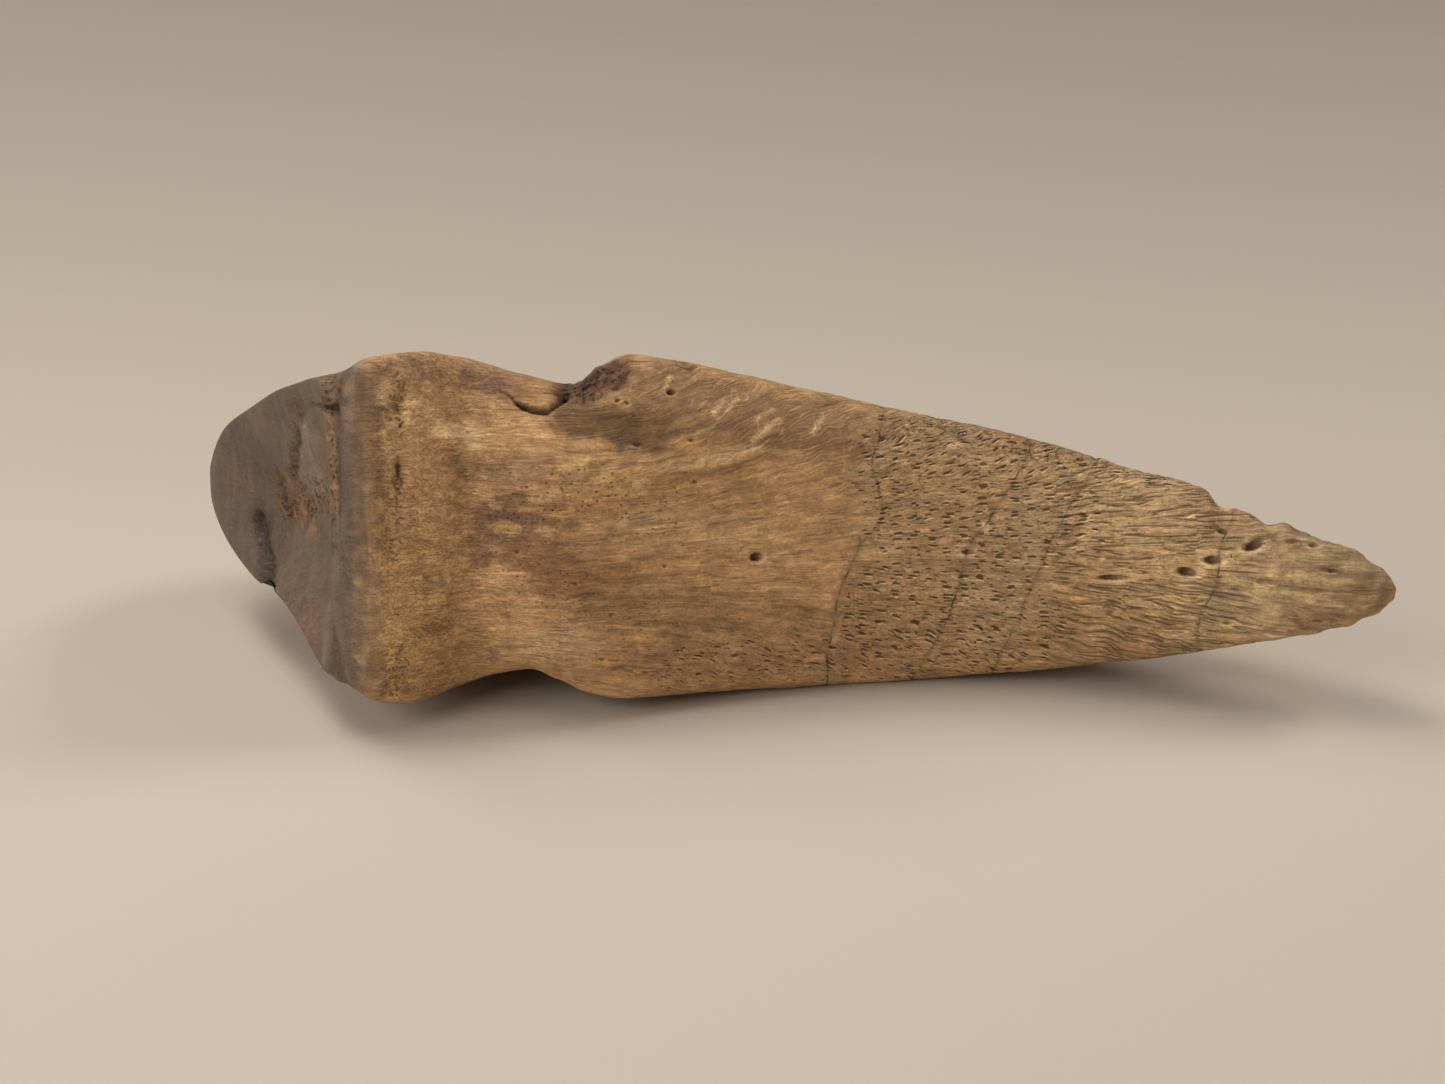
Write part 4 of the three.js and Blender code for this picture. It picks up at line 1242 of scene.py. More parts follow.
# ---------------------------------------------------------------- the bone's finish


@dataclass(frozen=True)
class Grain:
    """One layer of noise in the finish, with its size along, across and into the bone."""

    size: Point
    detail: float
    wave: float
    shift: float  # picks the pattern
    fanned: bool = False  # it follows the fibres, not the claw's own axes

    def noise(self, board: Board, place: Socket) -> Socket:
        """Adds the layer.

        Args:
            board: the finish's tree.
            place: the place on the bone, in millimetres.

        Returns:
            A value round 0.5.
        """
        scaled = board.vector("MULTIPLY", place, tuple(1 / length for length in self.size))
        moved = board.vector("ADD", scaled, (self.shift,) * 3)
        inputs = {"Detail": self.detail, "Roughness": 0.6, "Distortion": self.wave}
        return board.noise(moved, flat=False, **inputs)


@dataclass(frozen=True)
class BoneFinish:
    """Mineral-stained bone: fibres, grain, pits, scratches and cracks over the stains, with painted
    shade in the recesses and painted highlights on lips and scratches.
    """

    name: str = "fossil_bone"
    specular: float = 0.3
    refraction: float = 1.5
    rough: float = 0.66
    smooth: float = 0.46
    bump_depth: float = 0.0003
    lip: float = 0.24  # how far a pit's or a wrinkle's lip lies from its floor; one side of the lip is painted as a highlight
    crack_width: float = 0.17
    scratch_angle: float = 48.0
    scratch_length: float = 3.4
    scratch_width: float = 0.75
    # how dark the painted shade in the narrow gaps is
    gap_shade_strength: float = 0.85
    fill_share: float = 0.6  # how much of a crack's sides the mineral colours
    warm: Point = (1.06, 1.04, 0.99)
    cool: Point = (0.92, 0.89, 0.88)
    # how much paler the threads, the crests and the painted highlights on lips and scratches are
    pale: Point = (1.55, 1.68, 1.95)

    def grains(self) -> dict[str, Grain]:
        """The layers of noise."""
        return {
            "fibre": Grain((6.5, 0.42, 1.0), 2.5, 0.25, 3.1, True),
            "strand": Grain((8.0, 0.8, 1.0), 3.0, 0.4, 14.2, True),
            "spread": Grain((3.0, 1.3, 1.0), 2.0, 0.5, 27.0, True),
            "crinkle": Grain((2.2, 0.5, 0.6), 3.0, 0.9, 47.0),
            "blotch": Grain((2.6, 1.5, 1.5), 5.0, 0.8, 9.4),
            "cloud": Grain((9.0, 5.0, 5.0), 4.0, 0.5, 21.7),
            "speck": Grain((0.32, 0.2, 0.2), 2.0, 0.5, 33.0),
            "streak": Grain((1.1, 9.0, 1.1), 4.0, 0.4, 53.0),
            "grit": Grain((0.5, 0.4, 0.4), 3.0, 0.5, 71.0),
            "break": Grain((1.1, 1.5, 1.5), 3.0, 0.0, 61.0),
        }

    def scratches(self, board: Board, skin: Socket) -> Socket:
        """Adds short slanting scratches, which the colour also pales as painted glints.

        Args:
            board: the finish's tree.
            skin: the place along the claw and round it.

        Returns:
            1 where a scratch runs and 0 between.
        """
        inputs = {"Vector": skin, "Angle": math.radians(self.scratch_angle)}
        turned = board.add("ShaderNodeVectorRotate", inputs, rotation_type="Z_AXIS").outputs[0]
        sway = board.noise(skin, "Color", Scale=0.35)
        moved = board.vector("ADD", turned, board.vector("MULTIPLY", sway, (0.0, 3.4, 0.0)))
        size = (1 / self.scratch_length, 1 / self.scratch_width, 0.0)
        distance, chances = board.cells(board.vector("MULTIPLY", moved, size))
        here = board.ramp(board.split(chances)[0], 0.5, 0.75, 0.0, 1.0)
        return board.times(board.ramp(distance, 0.12, 0.3, 1.0, 0.0), here)

    def pores(self, board: Board, skin: Socket) -> Socket:
        """Adds scattered pinholes.

        Args:
            board: the finish's tree.
            skin: the place along the claw and round it.

        Returns:
            1 in each pinhole and 0 between.
        """
        distance, chances = board.cells(board.vector("MULTIPLY", skin, (1.5, 2.0, 0.0)))
        here = board.ramp(board.split(chances)[1], 0.68, 0.95, 0.0, 1.0)
        return board.times(board.ramp(distance, 0.1, 0.26, 1.0, 0.0), here)

    def cracks(self, board: Board, broken: Socket) -> tuple[Socket, Socket]:
        """Adds the hair cracks, of uneven strength, and the mineral that fills their sides.

        Args:
            board: the finish's tree.
            broken: the noise that breaks them.

        Returns:
            How dark the cracks' lines are, and how much mineral there is.
        """
        offsets = [
            *board.split(finish_attribute(board, "cracks")),
            finish_attribute(board, "last_crack", "Fac"),
        ]
        nearest: Socket = FAR
        for offset in offsets:
            nearest = board.math("MINIMUM", nearest, board.math("ABSOLUTE", offset))
        width = self.crack_width
        line = board.ramp(nearest, 0.0, width, 1.0, 0.0)
        sides = board.ramp(nearest, width, 3.4 * width, 1.0, 0.0)
        fill = board.times(sides, board.ramp(broken, 0.62, 0.44, 0.2, 1.0))
        return board.times(line, board.ramp(broken, 0.47, 0.62, 0.14, 1.0)), fill

    def hole_shade(self, board: Board, speck: Socket) -> tuple[Socket, Socket]:
        """Paints shade and highlights into the vessel holes.

        Args:
            board: the finish's tree.
            speck: the fine noise that roughens their edges.

        Returns:
            The painted shade, darkest on the joint's side, and the painted highlights on one side of
            the holes' lips.
        """
        run, across, dark = board.split(finish_attribute(board, "hole"))
        squares = board.plus_share(across, across, board.times(run, run))
        distance = board.plus_share(speck, 0.3, board.math("SQRT", squares))
        inside = board.ramp(distance, 1.2, 0.75, 0.0, 1.0)
        slope = board.ramp(run, -0.4, 1.0, 0.85, 0.35)
        # a pale ring on one side of each hole: a painted highlight
        round_it = board.ramp(distance, 1.8, 1.3, 0.0, 1.0)
        lip = board.math("SUBTRACT", round_it, inside, clamp=True)
        lip = board.times(lip, dark, board.ramp(across, -0.4, 0.8, 0.0, 0.6))
        return board.times(inside, slope, dark), lip

    def read(self, board: Board, vessels: VesselTexture) -> Sockets:
        """Reads what the mesh holds for the finish, and adds the layers of noise.

        Args:
            board: the finish's tree.
            vessels: the texture whose fanned grain the fibres follow.

        Returns:
            The sockets by name.
        """
        found = {name: finish_attribute(board, name) for name in ("flow", "skin")}
        found["tone"] = finish_attribute(board, "tone", "Color")
        for name in ("grained", "porous", "gap_shade"):
            found[name] = finish_attribute(board, name, "Fac")
        masks = board.split(finish_attribute(board, "masks"))
        found.update(zip(("pitted", "fibrous", "crumbly"), masks))
        # the third number is the relief's painted shade and light
        wear_and_shade = board.split(finish_attribute(board, "wear_and_shade"))
        found.update(zip(("scratched", "polished", "hollow"), wear_and_shade))
        found["place"] = vessels.fanned(board, found["skin"])
        for name, grain in self.grains().items():
            found[name] = grain.noise(board, found["place" if grain.fanned else "flow"])
        found["calm"] = board.ramp(found["polished"], 0.1, 0.9, 1.0, 0.4)
        return found

    def vessel_marks(self, board: Board, vessels: VesselTexture, found: Sockets) -> Sockets:
        """Repeats the mesh's pits, wrinkles and pores, and adds scratches, pinholes and cracks.

        Args:
            board: the finish's tree.
            vessels: the texture that the mesh has.
            found: what `read` found.

        Returns:
            Each mark's strength by name.
        """
        place, fibrous, pitted = found["place"], found["fibrous"], found["pitted"]
        # the pits and wrinkles read again at a shift give one-sided lips, painted as highlights
        above = board.vector("ADD", place, (-0.1, -self.lip, 0.0))
        wave = vessels.fold(board, place)
        furrow = board.times(vessels.furrow(board, place, wave), fibrous)
        lip = board.times(vessels.furrow(board, above, vessels.fold(board, above)), fibrous)
        pit = vessels.pit(board, place, pitted)
        crack, fill = self.cracks(board, found["break"])
        hole, hole_lip_highlight = self.hole_shade(board, found["speck"])
        return {
            "ridge": board.times(board.ramp(wave, 0.02, 0.2, 0.0, 1.0), fibrous),
            "furrow": furrow,
            "furrow_lip_highlight": board.math("SUBTRACT", lip, furrow, clamp=True),
            "pit": pit,
            "pit_lip_highlight": board.math("SUBTRACT", vessels.pit(board, above, pitted), pit, clamp=True),
            "cell": board.times(vessels.pore(board, found["flow"]), found["crumbly"]),
            "pore": board.times(self.pores(board, found["skin"]), found["porous"]),
            "scratch_and_glint": board.times(self.scratches(board, found["skin"]), found["scratched"]),
            "crack": crack,
            "fill": fill,
            "hole": hole,
            "hole_lip_highlight": hole_lip_highlight,
        }

    def fibre_marks(self, board: Board, found: Sockets) -> Sockets:
        """Adds the bone's fibres, its fine creases and the polished parts' worn streaks.

        Args:
            board: the finish's tree.
            found: what `read` found.

        Returns:
            Each mark's strength by name.
        """
        grained, fibre, crinkle = found["grained"], found["fibre"], found["crinkle"]
        here = board.times(board.ramp(found["spread"], 0.42, 0.6, 0.25, 1.0), grained)
        near = board.from_middle(fibre, 0.44)
        fold = board.from_middle(crinkle)
        crisp = board.times(found["calm"], board.ramp(grained, 0.2, 1.0, 1.0, 0.25))
        return {
            "groove": board.times(board.ramp(near, 0.012, 0.05, 1.0, 0.0), here),
            "thread": board.times(board.ramp(fibre, 0.56, 0.64, 0.0, 1.0), here),
            "band": board.times(board.math("SUBTRACT", found["strand"], 0.5), grained),
            "crease": board.times(board.ramp(fold, 0.0, 0.04, 1.0, 0.0), crisp),
            "crest": board.times(board.ramp(crinkle, 0.56, 0.68, 0.0, 1.0), crisp),
            "worn": board.times(board.math("SUBTRACT", found["streak"], 0.5), found["polished"]),
        }

    def brightness(self, board: Board, mark: Sockets) -> Socket:
        """How much lighter or darker the grain, and the painted shade and light of the relief, make
        the stained colour.

        Args:
            board: the finish's tree.
            mark: the marks and the layers of noise.

        Returns:
            A factor round 1.
        """
        light: Socket = 1.0
        for name, share in (("groove", -0.2), ("band", 1.4), ("crease", -0.13)):
            light = board.plus_share(mark[name], share, light)
        swings = (
            ("blotch", 0.3, 0.7, 0.82, 1.18),
            ("speck", 0.2, 0.8, 0.9, 1.1),
            ("grit", 0.34, 0.66, 0.88, 1.12),
            # painted shade darkens the hollows and painted light brightens the raised parts
            ("hollow", -1.0, 1.0, 1.15, 0.78),
        )
        for name, low, high, start, end in swings:
            light = board.times(light, board.ramp(mark[name], low, high, start, end))
        even = board.plus_share(board.math("SUBTRACT", light, 1.0), mark["calm"], 1.0)
        return board.times(even, board.plus_share(mark["worn"], 1.1, 1.0))

    def colour(self, board: Board, mark: Sockets) -> Socket:
        """Colours the bone.

        Args:
            board: the finish's tree.
            mark: the marks and the layers of noise.

        Returns:
            The stained colour with its grain, painted highlights on lips and scratches, painted shade
            in pits, wrinkles, pores, pinholes, gaps and holes, and dark crack lines.
        """
        colour = board.scaled(mark["tone"], self.brightness(board, mark))
        warm = board.vector("MULTIPLY", colour, self.warm)
        cool = board.vector("MULTIPLY", colour, self.cool)
        colour = board.mix(board.ramp(mark["cloud"], 0.5, 0.64, 0.0, 1.0), colour, warm)
        colour = board.mix(board.ramp(mark["cloud"], 0.5, 0.36, 0.0, 1.0), colour, cool)
        pale = board.vector("MULTIPLY", colour, self.pale)
        # paled: threads and crests, painted highlights on the lips, and scratches with painted glints
        raised = board.plus_share(mark["thread"], 0.5, board.times(mark["crest"], 0.18))
        lip_highlights = board.math("ADD", mark["hole_lip_highlight"], mark["pit_lip_highlight"])
        raised = board.math("ADD", lip_highlights, raised)
        raised = board.plus_share(mark["furrow_lip_highlight"], 0.85, raised)
        raised = board.plus_share(mark["scratch_and_glint"], 1.0, raised, clamp=True)
        colour = board.mix(raised, colour, pale)
        fill = board.times(mark["fill"], self.fill_share)
        colour = board.mix(fill, colour, Pigment.FILL.opaque())
        dark = Pigment.DARK.opaque()
        # painted shade darkens the pits, wrinkles, pores, pinholes and gaps, and the crack lines are
        # drawn dark
        shares = (("furrow", 0.52), ("pit", 0.76), ("cell", 0.55), ("pore", 0.7), ("crack", 0.6),
                  ("gap_shade", self.gap_shade_strength))
        for name, share in shares:
            colour = board.mix(board.times(mark[name], share), colour, dark)
        # painted shade in the vessel holes
        return board.mix(mark["hole"], colour, dark)

    def relief(self, board: Board, mark: Sockets) -> Socket:
        """Raises and sinks the fine marks.

        Args:
            board: the finish's tree.
            mark: the marks and the layers of noise.

        Returns:
            The bumped normal.
        """
        height = board.times(mark["blotch"], mark["calm"], 0.5)
        shares = (
            ("groove", -0.25), ("thread", 0.2), ("band", 0.8), ("crease", -0.24), ("crest", 0.2),
            ("speck", 0.12), ("ridge", 0.9), ("grit", 0.35), ("furrow", -0.8),
            ("furrow_lip_highlight", 0.5), ("pit", -1.0), ("pit_lip_highlight", 0.5), ("cell", -0.8),
            ("pore", -0.6), ("scratch_and_glint", 0.35), ("crack", -0.6), ("worn", 0.2),
        )
        for name, share in shares:
            height = board.plus_share(mark[name], share, height)
        inputs = {"Height": height, "Strength": 1.0, "Distance": self.bump_depth}
        return board.add("ShaderNodeBump", inputs).outputs["Normal"]

    def material(self, vessels: VesselTexture) -> bpy.types.Material:
        """Makes the material.

        Args:
            vessels: the pits, which the finish darkens with painted shade where the mesh has them.

        Returns:
            The finished material.
        """
        made = bpy.data.materials.new(self.name)
        made.use_nodes = True
        made.node_tree.nodes.clear()
        board = Board(made.node_tree)
        found = self.read(board, vessels)
        vessel_marks = self.vessel_marks(board, vessels, found)
        mark = {**found, **vessel_marks, **self.fibre_marks(board, found)}
        roughness = board.ramp(mark["polished"], 0.0, 1.0, self.rough, self.smooth)
        uneven = board.math("SUBTRACT", mark["speck"], 0.5)
        shader = board.add("ShaderNodeBsdfPrincipled", {
            "Base Color": self.colour(board, mark),
            "Roughness": board.plus_share(uneven, 0.2, roughness),
            "Normal": self.relief(board, mark),
            "IOR": self.refraction,
            "Specular IOR Level": self.specular,
        })
        board.add("ShaderNodeOutputMaterial", {"Surface": shader.outputs["BSDF"]})
        return made


# ---------------------------------------------------------------- the claw


@dataclass
class ClawBone:
    """The claw as one piece of bone."""

    form: ClawForm = field(default_factory=ClawForm)
    grid: Grid = field(default_factory=Grid)
    marks: ClawMarks = field(default_factory=ClawMarks)
    vessels: VesselTexture = field(default_factory=VesselTexture)
    finish: BoneFinish = field(default_factory=BoneFinish)
    fan_start: tuple[float, float] = (44.0, 66.0)  # where the grain starts to fan out
    fan_end: tuple[float, float] = (34.0, 17.0)  # how far round the claw it still does
    fan_middle: float = 3.0
    fan_rate: float = 0.024
    fibre_start: tuple[float, float] = (20.0, 54.0)
    back_seam: tuple[float, float] = (0.86, 0.96)
    flank_fibres: float = 0.45
    joint_fibres: float = 0.05
    gain: float = 1.66
    region_edge: Pattern = Pattern(1.0, 3.4, 5)
    carving_edge: Pattern = Pattern(1.0, 1.6, 43)
    stain_edge: tuple[Pattern, ...] = (
        Pattern(0.55, 3.0, 31, 4), Pattern(0.55, (3.4, 0.7, 1.3), 37), Pattern(0.35, 0.9, 39, 2),
    )
    crumbled_edge: Pattern = Pattern(1.2, 1.1, 83)
    crumbled_gaps: Pattern = Pattern(1.0, 0.8, 87, 2)
    swells: tuple[Pattern, ...] = (
        Pattern(0.16, (8, 5, 5), 51), Pattern(0.09, (2.6, 1.1, 1.1), 57),
        Pattern(0.05, (1.5, 0.9, 0.9), 55),
    )
    point_lumps: Pattern = Pattern(0.4, (2.4, 1.4, 1.4), 53)
    point_start: tuple[float, float] = (117, 125)
    crumbs: Pattern = Pattern(0.34, 1.3, 61)
    crumbled_depth: float = 0.12
    hollow_shade_depth: float = 0.35  # how deep a hollow is where its painted shade is darkest
    hole_ring: tuple[float, float] = (2.2, 1.1)  # no pits lie this near a hole, in its radii
    hole_reach: float = 3.0

    @staticmethod
    def under(at: Stations) -> Array:
        """Which vertices lie on the underside."""
        return ~(at.joint | at.flank)

    def back_line(self, at: Stations) -> Array:
        """1 along the middle of the back, where the unrolled skin meets itself, and 0 elsewhere."""
        return np.where(at.flank, step(*self.back_seam, at.turn), 0.0)

    def masks(self, points: Array, at: Stations) -> dict[Finish, Array]:
        """Finds the kinds of surface.

        Args:
            points: the main form's vertices.
            at: where each stands on the grid.

        Returns:
            How much of each kind of surface there is at each vertex.
        """
        rough = self.region_edge.at(points)
        found = {}
        for kind, regions in REGIONS.items():
            parts = [amount * blot.at(points, rough) for amount, blot in regions]
            found[kind] = np.max(parts, axis=0)
        clear = 1 - self.back_line(at)
        found[Finish.POROUS] = found[Finish.POROUS] * clear
        for item in self.marks.holes:
            clear *= 1 - step(*self.hole_ring, np.hypot(*item.place(points)))
        for kind in (Finish.PITTED, Finish.FIBROUS):
            found[kind] = found[kind] * clear
        return found

    def tone(self, points: Array) -> Array:
        """Stains the bone.

        Args:
            points: the main form's vertices.

        Returns:
            The stained colour at each vertex, as linear light.
        """
        rough = sum(pattern.at(points) for pattern in self.stain_edge)
        colour = np.tile(Pigment.OCHRE.linear(), (len(points), 1))
        fine = self.crumbled_edge.at(points)
        broken = step(-0.35, 0.35, self.crumbled_gaps.at(points))
        for stain in STAINS:
            edge = fine if stain.crumbled else rough
            share = stain.blot.at(points, edge) * stain.strength
            share = (share * broken if stain.crumbled else share)[:, None]
            colour = colour * (1 - share) + stain.pigment.linear() * share
        return colour * self.gain

    def skin(self, points: Array) -> Array:
        """Unrolls the skin from the underside's middle round to the back.

        Args:
            points: the main form's vertices.

        Returns:
            The place along the claw, the place round it and how fast the grain fans out.
        """
        half = self.grid.half
        rings = points[:-2].reshape(-1, 2 * half, 3)
        ahead = np.linalg.norm(np.diff(rings, axis=1), axis=2)
        zero = np.zeros((len(rings), 1))
        left = np.concatenate([zero, np.cumsum(ahead[:, : half - 1], axis=1)], axis=1)
        back = np.linalg.norm(rings[:, 0] - rings[:, -1], axis=1)[:, None]
        steps = np.concatenate([back, ahead[:, : half - 1 : -1]], axis=1)
        right = np.cumsum(steps, axis=1)[:, ::-1]
        middle = rings[:, 0, 1][:, None]
        around = np.concatenate([middle + left, middle - right], axis=1).ravel()
        around = np.append(around, [0.0, 0.0]) - self.fan_middle
        x = points[:, 0]
        rate = self.fan_rate * step(*self.fan_start, x) * step(*self.fan_end, np.abs(around))
        return np.stack([x, around, rate], axis=1)

    def grained(self, points: Array, at: Stations, masks: dict[Finish, Array]) -> Array:
        """Finds how strongly the fibres show.

        Args:
            points: the main form's vertices.
            at: where each stands on the grid.
            masks: how much of each kind of surface each has.

        Returns:
            A share for each vertex: low on the joint and its rim, and most past the knob.
        """
        fade = 0.08 + 0.92 * step(*self.fibre_start, points[:, 0])
        calm = (1 - 0.5 * masks[Finish.POLISHED]) * (1 - 0.6 * masks[Finish.PITTED])
        calm *= np.where(at.flank, self.flank_fibres * (1 - self.back_line(at)), 1.0)
        fibres = np.where(at.joint, self.joint_fibres, fade)
        return fibres * calm * (1 - 0.5 * masks[Finish.FIBROUS])

    def relief(
        self, points: Array, at: Stations, masks: dict[Finish, Array]
    ) -> tuple[Array, Array]:
        """Shapes the surface's own relief.

        Args:
            points: the main form's vertices.
            at: where each stands on the grid.
            masks: how much of each kind of surface each has.

        Returns:
            The height of each vertex over the main form, and the strength of the painted shade in the
            gap it lies in.
        """
        under = self.under(at).astype(float)
        rough = self.carving_edge.at(points)
        plain = 1 - 0.8 * masks[Finish.POLISHED]
        height = sum(pattern.at(points) * plain for pattern in self.swells)
        height += self.point_lumps.at(points) * step(*self.point_start, points[:, 0])
        height += masks[Finish.CRUMBLY] * (self.crumbs.at(points) - self.crumbled_depth)
        for carving in CARVINGS:
            height += carving.height * carving.blot.at(points, rough)
        hole = np.zeros(len(points))
        for item in self.marks.holes:
            hole = np.maximum(hole, item.at(points) * under)
        height -= hole
        gap_shade = np.zeros(len(points))
        for item in self.marks.cracks:
            height += item.relief(points) * under
        for item in self.marks.seams:
            gap = item.at(points)
            height -= item.depth * gap
            gap_shade = np.maximum(gap_shade, item.darkness * gap)
        return height, gap_shade

    def nearest_hole(self, points: Array, under: Array) -> Array:
        """Finds the nearest vessel hole.

        Args:
            points: the main form's vertices.
            under: which of them lie on the underside.

        Returns:
            Where each vertex lies along and across that hole, and how dark its painted shade is.
        """
        nearest = np.full(len(points), self.hole_reach)
        found = np.tile([self.hole_reach, self.hole_reach, 0.0], (len(points), 1))
        for item in self.marks.holes:
            run, across = item.place(points)
            distance = np.hypot(run, across)
            here = (distance < nearest) & under
            # the hole's painted shade, darker as the hole is deeper
            shade = np.full(len(points), min(item.depth + 0.2, 1.0))
            found[here] = np.stack([run, across, shade], axis=1)[here]
            nearest = np.where(here, distance, nearest)
        return found

    def mesh(self) -> bpy.types.Mesh:
        """Makes the fine mesh with its relief.

        Returns:
            The mesh with its attributes, laid as it rests, in metres.
        """
        at = self.grid.stations(self.form.tip_length / self.form.length)
        points = self.form.points(at)
        mesh = bpy.data.meshes.new("claw_bone")
        mesh.from_pydata(points.tolist(), [], self.grid.faces())
        normals = np.empty(len(points) * 3)
        mesh.vertex_normals.foreach_get("vector", normals)
        masks = self.masks(points, at)
        height, gap_shade = self.relief(points, at, masks)
        carved = points + normals.reshape(-1, 3) * height[:, None]
        mesh.vertices.foreach_set("co", self.placed(carved, points).astype(np.float32).ravel())
        # painted shade for the hollows and painted light for the raised parts, from the relief's
        # height
        hollow = np.clip(-height / self.hollow_shade_depth, -1, 1)
        under = self.under(at)
        cracks = [np.where(under, crack.offset(points), FAR) for crack in self.marks.cracks]
        opaque = np.ones(len(points))
        wear_and_shade = [masks[Finish.SCRATCHED], masks[Finish.POLISHED], hollow]
        kinds = [masks[kind] for kind in (Finish.PITTED, Finish.FIBROUS, Finish.CRUMBLY)]
        self.store(mesh, "flow", "FLOAT_VECTOR", points)
        self.store(mesh, "skin", "FLOAT_VECTOR", self.skin(points))
        self.store(mesh, "masks", "FLOAT_VECTOR", np.stack(kinds, axis=1))
        self.store(mesh, "wear_and_shade", "FLOAT_VECTOR", np.stack(wear_and_shade, axis=1))
        self.store(mesh, "cracks", "FLOAT_VECTOR", np.stack(cracks[:3], axis=1))
        self.store(mesh, "last_crack", "FLOAT", cracks[3])
        self.store(mesh, "gap_shade", "FLOAT", gap_shade)
        self.store(mesh, "hole", "FLOAT_VECTOR", self.nearest_hole(points, under))
        self.store(mesh, "grained", "FLOAT", self.grained(points, at, masks))
        self.store(mesh, "porous", "FLOAT", masks[Finish.POROUS])
        self.store(mesh, "tone", "FLOAT_COLOR", np.column_stack([self.tone(points), opaque]))
        mesh.update()
        return mesh

    def placed(self, points: Array, form: Array) -> Array:
        """Lays points down where the solid lies.

        Args:
            points: the points to lay down, in the claw's axes.
            form: the main form, which is lined up with the solid's box.

        Returns:
            The points in the frame's axes, in metres.
        """
        low, high = (np.array(corner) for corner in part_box("claw"))
        laid = self.form.laid(form) * MM
        middle = (laid.min(axis=0) + laid.max(axis=0)) / 2
        shift = (low + high) / 2 - middle
        shift[2] = high[2] - laid[:, 2].max()
        return self.form.laid(points) * MM + shift

    @staticmethod
    def store(mesh: bpy.types.Mesh, name: str, kind: str, values: Array) -> None:
        """Stores values at the vertices.

        Args:
            mesh: the mesh to store them on.
            name: the attribute's name.
            kind: the attribute's data type.
            values: a number or a row for each vertex.
        """
        key = {"FLOAT": "value", "FLOAT_VECTOR": "vector", "FLOAT_COLOR": "color"}[kind]
        attribute = mesh.attributes.new(name, kind, "POINT")
        attribute.data.foreach_set(key, np.ascontiguousarray(values, np.float32).ravel())

    def build(self) -> bpy.types.Object:
        """Makes the piece: its mesh, its pits and its finish.

        Returns:
            The claw, with its place in its mesh.
        """
        material = self.finish.material(self.vessels)
        raw = add_object("raw_bone", self.mesh())
        modifier = raw.modifiers.new("vessels", "NODES")
        tree = self.vessels.tree(material)
        modifier.node_group = tree
        sizes = self.vessels.depths()
        for item in tree.interface.items_tree:
            if item.item_type == "SOCKET" and item.in_out == "INPUT" and item.name in sizes:
                modifier[item.identifier] = sizes[item.name]
        bpy.context.view_layer.update()
        shaped = raw.evaluated_get(bpy.context.evaluated_depsgraph_get())
        mesh = bpy.data.meshes.new_from_object(shaped)
        raw.modifiers.remove(modifier)
        bpy.data.objects.remove(raw)
        mesh.name = "claw_bone"
        self.rest_on_floor(mesh)
        return add_object("claw_bone", mesh)

    @staticmethod
    def rest_on_floor(mesh: bpy.types.Mesh) -> None:
        """Wears the lowest spots flat where the claw rests.

        Args:
            mesh: the claw's mesh, in metres.
        """
        places = np.empty(len(mesh.vertices) * 3, np.float32)
        mesh.vertices.foreach_get("co", places)
        places = places.reshape(-1, 3)
        places[:, 2] = np.maximum(places[:, 2], 0)
        mesh.vertices.foreach_set("co", places.ravel())
        mesh.update()


# ---------------------------------------------------------------- floor, lights and camera


@dataclass(frozen=True)
class FloorFinish:
    """A matt pale board, darkened towards the back by painted shade."""

    name: str = "pale_board"
    tint: Tint = (206, 193, 178)
    shade_start: float = -0.03
    shade_end: float = 0.24
    shade_to: float = 0.5
    rough: float = 0.9
    specular: float = 0.1

    def material(self) -> bpy.types.Material:
        """Makes the material.

        Returns:
            The finished material.
        """
        made = bpy.data.materials.new(self.name)
        made.use_nodes = True
        board = Board(made.node_tree)
        place = board.add("ShaderNodeTexCoord").outputs["Object"]
        depth = board.split(place)[1]
        inputs = {"Value": depth, "From Min": self.shade_start, "From Max": self.shade_end,
                  "To Min": 1.0, "To Max": self.shade_to}
        # painted shade: the board's colour darkens towards the back
        shade = board.add("ShaderNodeMapRange", inputs).outputs["Result"]
        colour = board.scaled(linear_light(self.tint).tolist(), shade)
        shader = made.node_tree.nodes["Principled BSDF"]
        made.node_tree.links.new(colour, shader.inputs["Base Color"])
        shader.inputs["Roughness"].default_value = self.rough
        shader.inputs["Specular IOR Level"].default_value = self.specular
        return made


@dataclass(frozen=True)
class Lamp:
    """One square soft light, in metres and watts."""

    name: str
    place: Point
    size: float
    watts: float


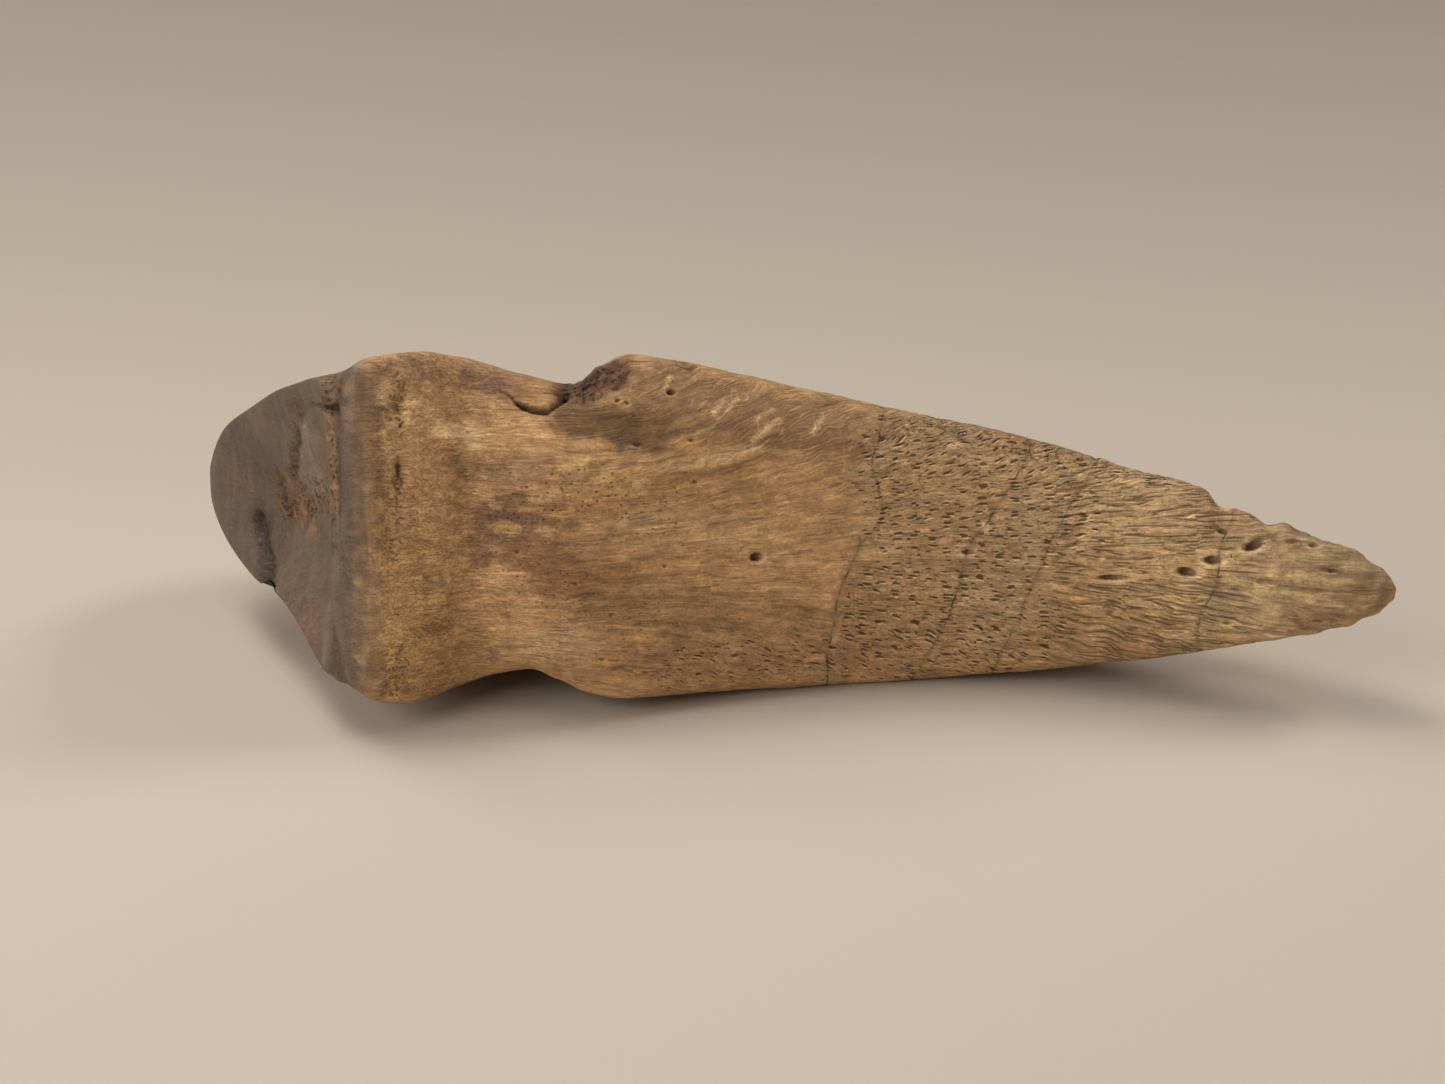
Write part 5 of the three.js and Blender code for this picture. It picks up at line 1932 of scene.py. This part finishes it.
@dataclass
class Studio:
    """A pale floor that sweeps up behind the claw, soft lights and the camera."""

    target: Point = (-0.0065, 0.0, 0.013)
    distance: float = 0.288
    elevation: float = 25.0
    lens: float = 60.0
    sensor: float = 36.0
    sweep_start: float = 0.07
    sweep_radius: float = 0.5
    sweep_angle: float = 80.0
    sweep_steps: int = 24
    floor_front: float = 0.6
    floor_half_width: float = 1.4
    surface: FloorFinish = FloorFinish()
    warm_white: Point = (1.0, 0.97, 0.93)
    room_strength: float = 0.07
    lamps: tuple[Lamp, ...] = (
        Lamp("high_left_light", (-0.28, 0.16, 0.62), 0.22, 0.8),
        Lamp("steep_left_light", (-0.22, 0.22, 0.64), 0.18, 0.45),
        Lamp("back_left_light", (-0.30, 0.36, 0.50), 0.24, 0.82),
        Lamp("back_right_light", (0.45, 0.20, 0.50), 0.24, 1.72),
        Lamp("left_front_panel", (-0.60, -0.35, 0.35), 0.5, 2.6),
        Lamp("top_light", (-0.16, 0.0, 0.72), 0.35, 0.8),
        Lamp("left_panel", (-0.9, 0.0, 0.5), 1.0, 2.0),
    )
    claw_lamp: Lamp = Lamp("front_panel", (-0.05, -0.86, 0.05), 1.0, 4.5)  # lights the claw alone

    def floor(self) -> bpy.types.Object:
        """Makes the floor and its sweep.

        Returns:
            One sheet.
        """
        profile = [(-self.floor_front, 0.0), (self.sweep_start, 0.0)]
        for i in range(1, self.sweep_steps + 1):
            angle = math.radians(self.sweep_angle) * i / self.sweep_steps
            y = self.sweep_start + self.sweep_radius * math.sin(angle)
            profile.append((y, self.sweep_radius * (1 - math.cos(angle))))
        vertices = []
        for y, z in profile:
            vertices += [(-self.floor_half_width, y, z), (self.floor_half_width, y, z)]
        faces = [(2 * i, 2 * i + 1, 2 * i + 3, 2 * i + 2) for i in range(len(profile) - 1)]
        mesh = bpy.data.meshes.new("floor")
        mesh.from_pydata(vertices, [], faces)
        mesh.shade_smooth()
        mesh.materials.append(self.surface.material())
        return add_object("floor", mesh)

    def light(self, lamp: Lamp) -> bpy.types.Object:
        """Sets up a light, aimed at the claw.

        Args:
            lamp: its place, size and power.

        Returns:
            The light.
        """
        data = bpy.data.lights.new(lamp.name, "AREA")
        data.shape = "SQUARE"
        data.size = lamp.size
        data.energy = lamp.watts
        data.color = self.warm_white
        direction = Vector((np.array(self.target) - np.array(lamp.place)).tolist())
        light = add_object(lamp.name, data)
        light.location = lamp.place
        light.rotation_euler = direction.to_track_quat("-Z", "Y").to_euler()
        return light

    def lights(self, piece: bpy.types.Object) -> None:
        """Sets up the lights and the dim room.

        Args:
            piece: the claw, which one broad panel lights without the floor round it.
        """
        for lamp in self.lamps:
            self.light(lamp)
        receivers = bpy.data.collections.new("front_panel_receivers")
        receivers.objects.link(piece)
        self.light(self.claw_lamp).light_linking.receiver_collection = receivers
        world = bpy.data.worlds.new("room")
        world.use_nodes = True
        background = world.node_tree.nodes["Background"]
        background.inputs["Color"].default_value = (*self.warm_white, 1.0)
        background.inputs["Strength"].default_value = self.room_strength
        bpy.context.scene.world = world

    def camera(self) -> bpy.types.Object:
        """Sets up the camera, looking down at the claw's underside.

        Returns:
            The camera.
        """
        data = bpy.data.cameras.new("camera")
        data.lens = self.lens
        data.sensor_width = self.sensor
        data.sensor_fit = "HORIZONTAL"
        data.clip_start = 0.01
        eye = add_object("camera", data)
        angle = math.radians(self.elevation)
        x, y, z = self.target
        back, up = self.distance * math.cos(angle), self.distance * math.sin(angle)
        eye.location = (x, y - back, z + up)
        eye.rotation_euler = (math.pi / 2 - angle, 0, 0)
        bpy.context.scene.camera = eye
        return eye


def add_object(name: str, data: bpy.types.ID) -> bpy.types.Object:
    """Puts a mesh, a light or a camera in the scene.

    Args:
        name: the object's name.
        data: what it holds.

    Returns:
        The object, at the origin.
    """
    made = bpy.data.objects.new(name, data)
    bpy.context.scene.collection.objects.link(made)
    return made


def main() -> None:
    """Builds the claw and the studio, and reports each piece."""
    logging.basicConfig(level=logging.INFO, format="%(name)s: %(message)s")
    studio = Studio()
    studio.camera()
    piece = ClawBone().build()
    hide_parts("claw")
    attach(piece, "root")
    LOG.info("%s: %d faces", piece.name, len(piece.data.polygons))
    floor = studio.floor()
    studio.lights(piece)
    LOG.info("floor, lights and camera are in place")
    bpy.context.scene.view_settings.view_transform = "Standard"


if __name__ == "__main__":
    main()
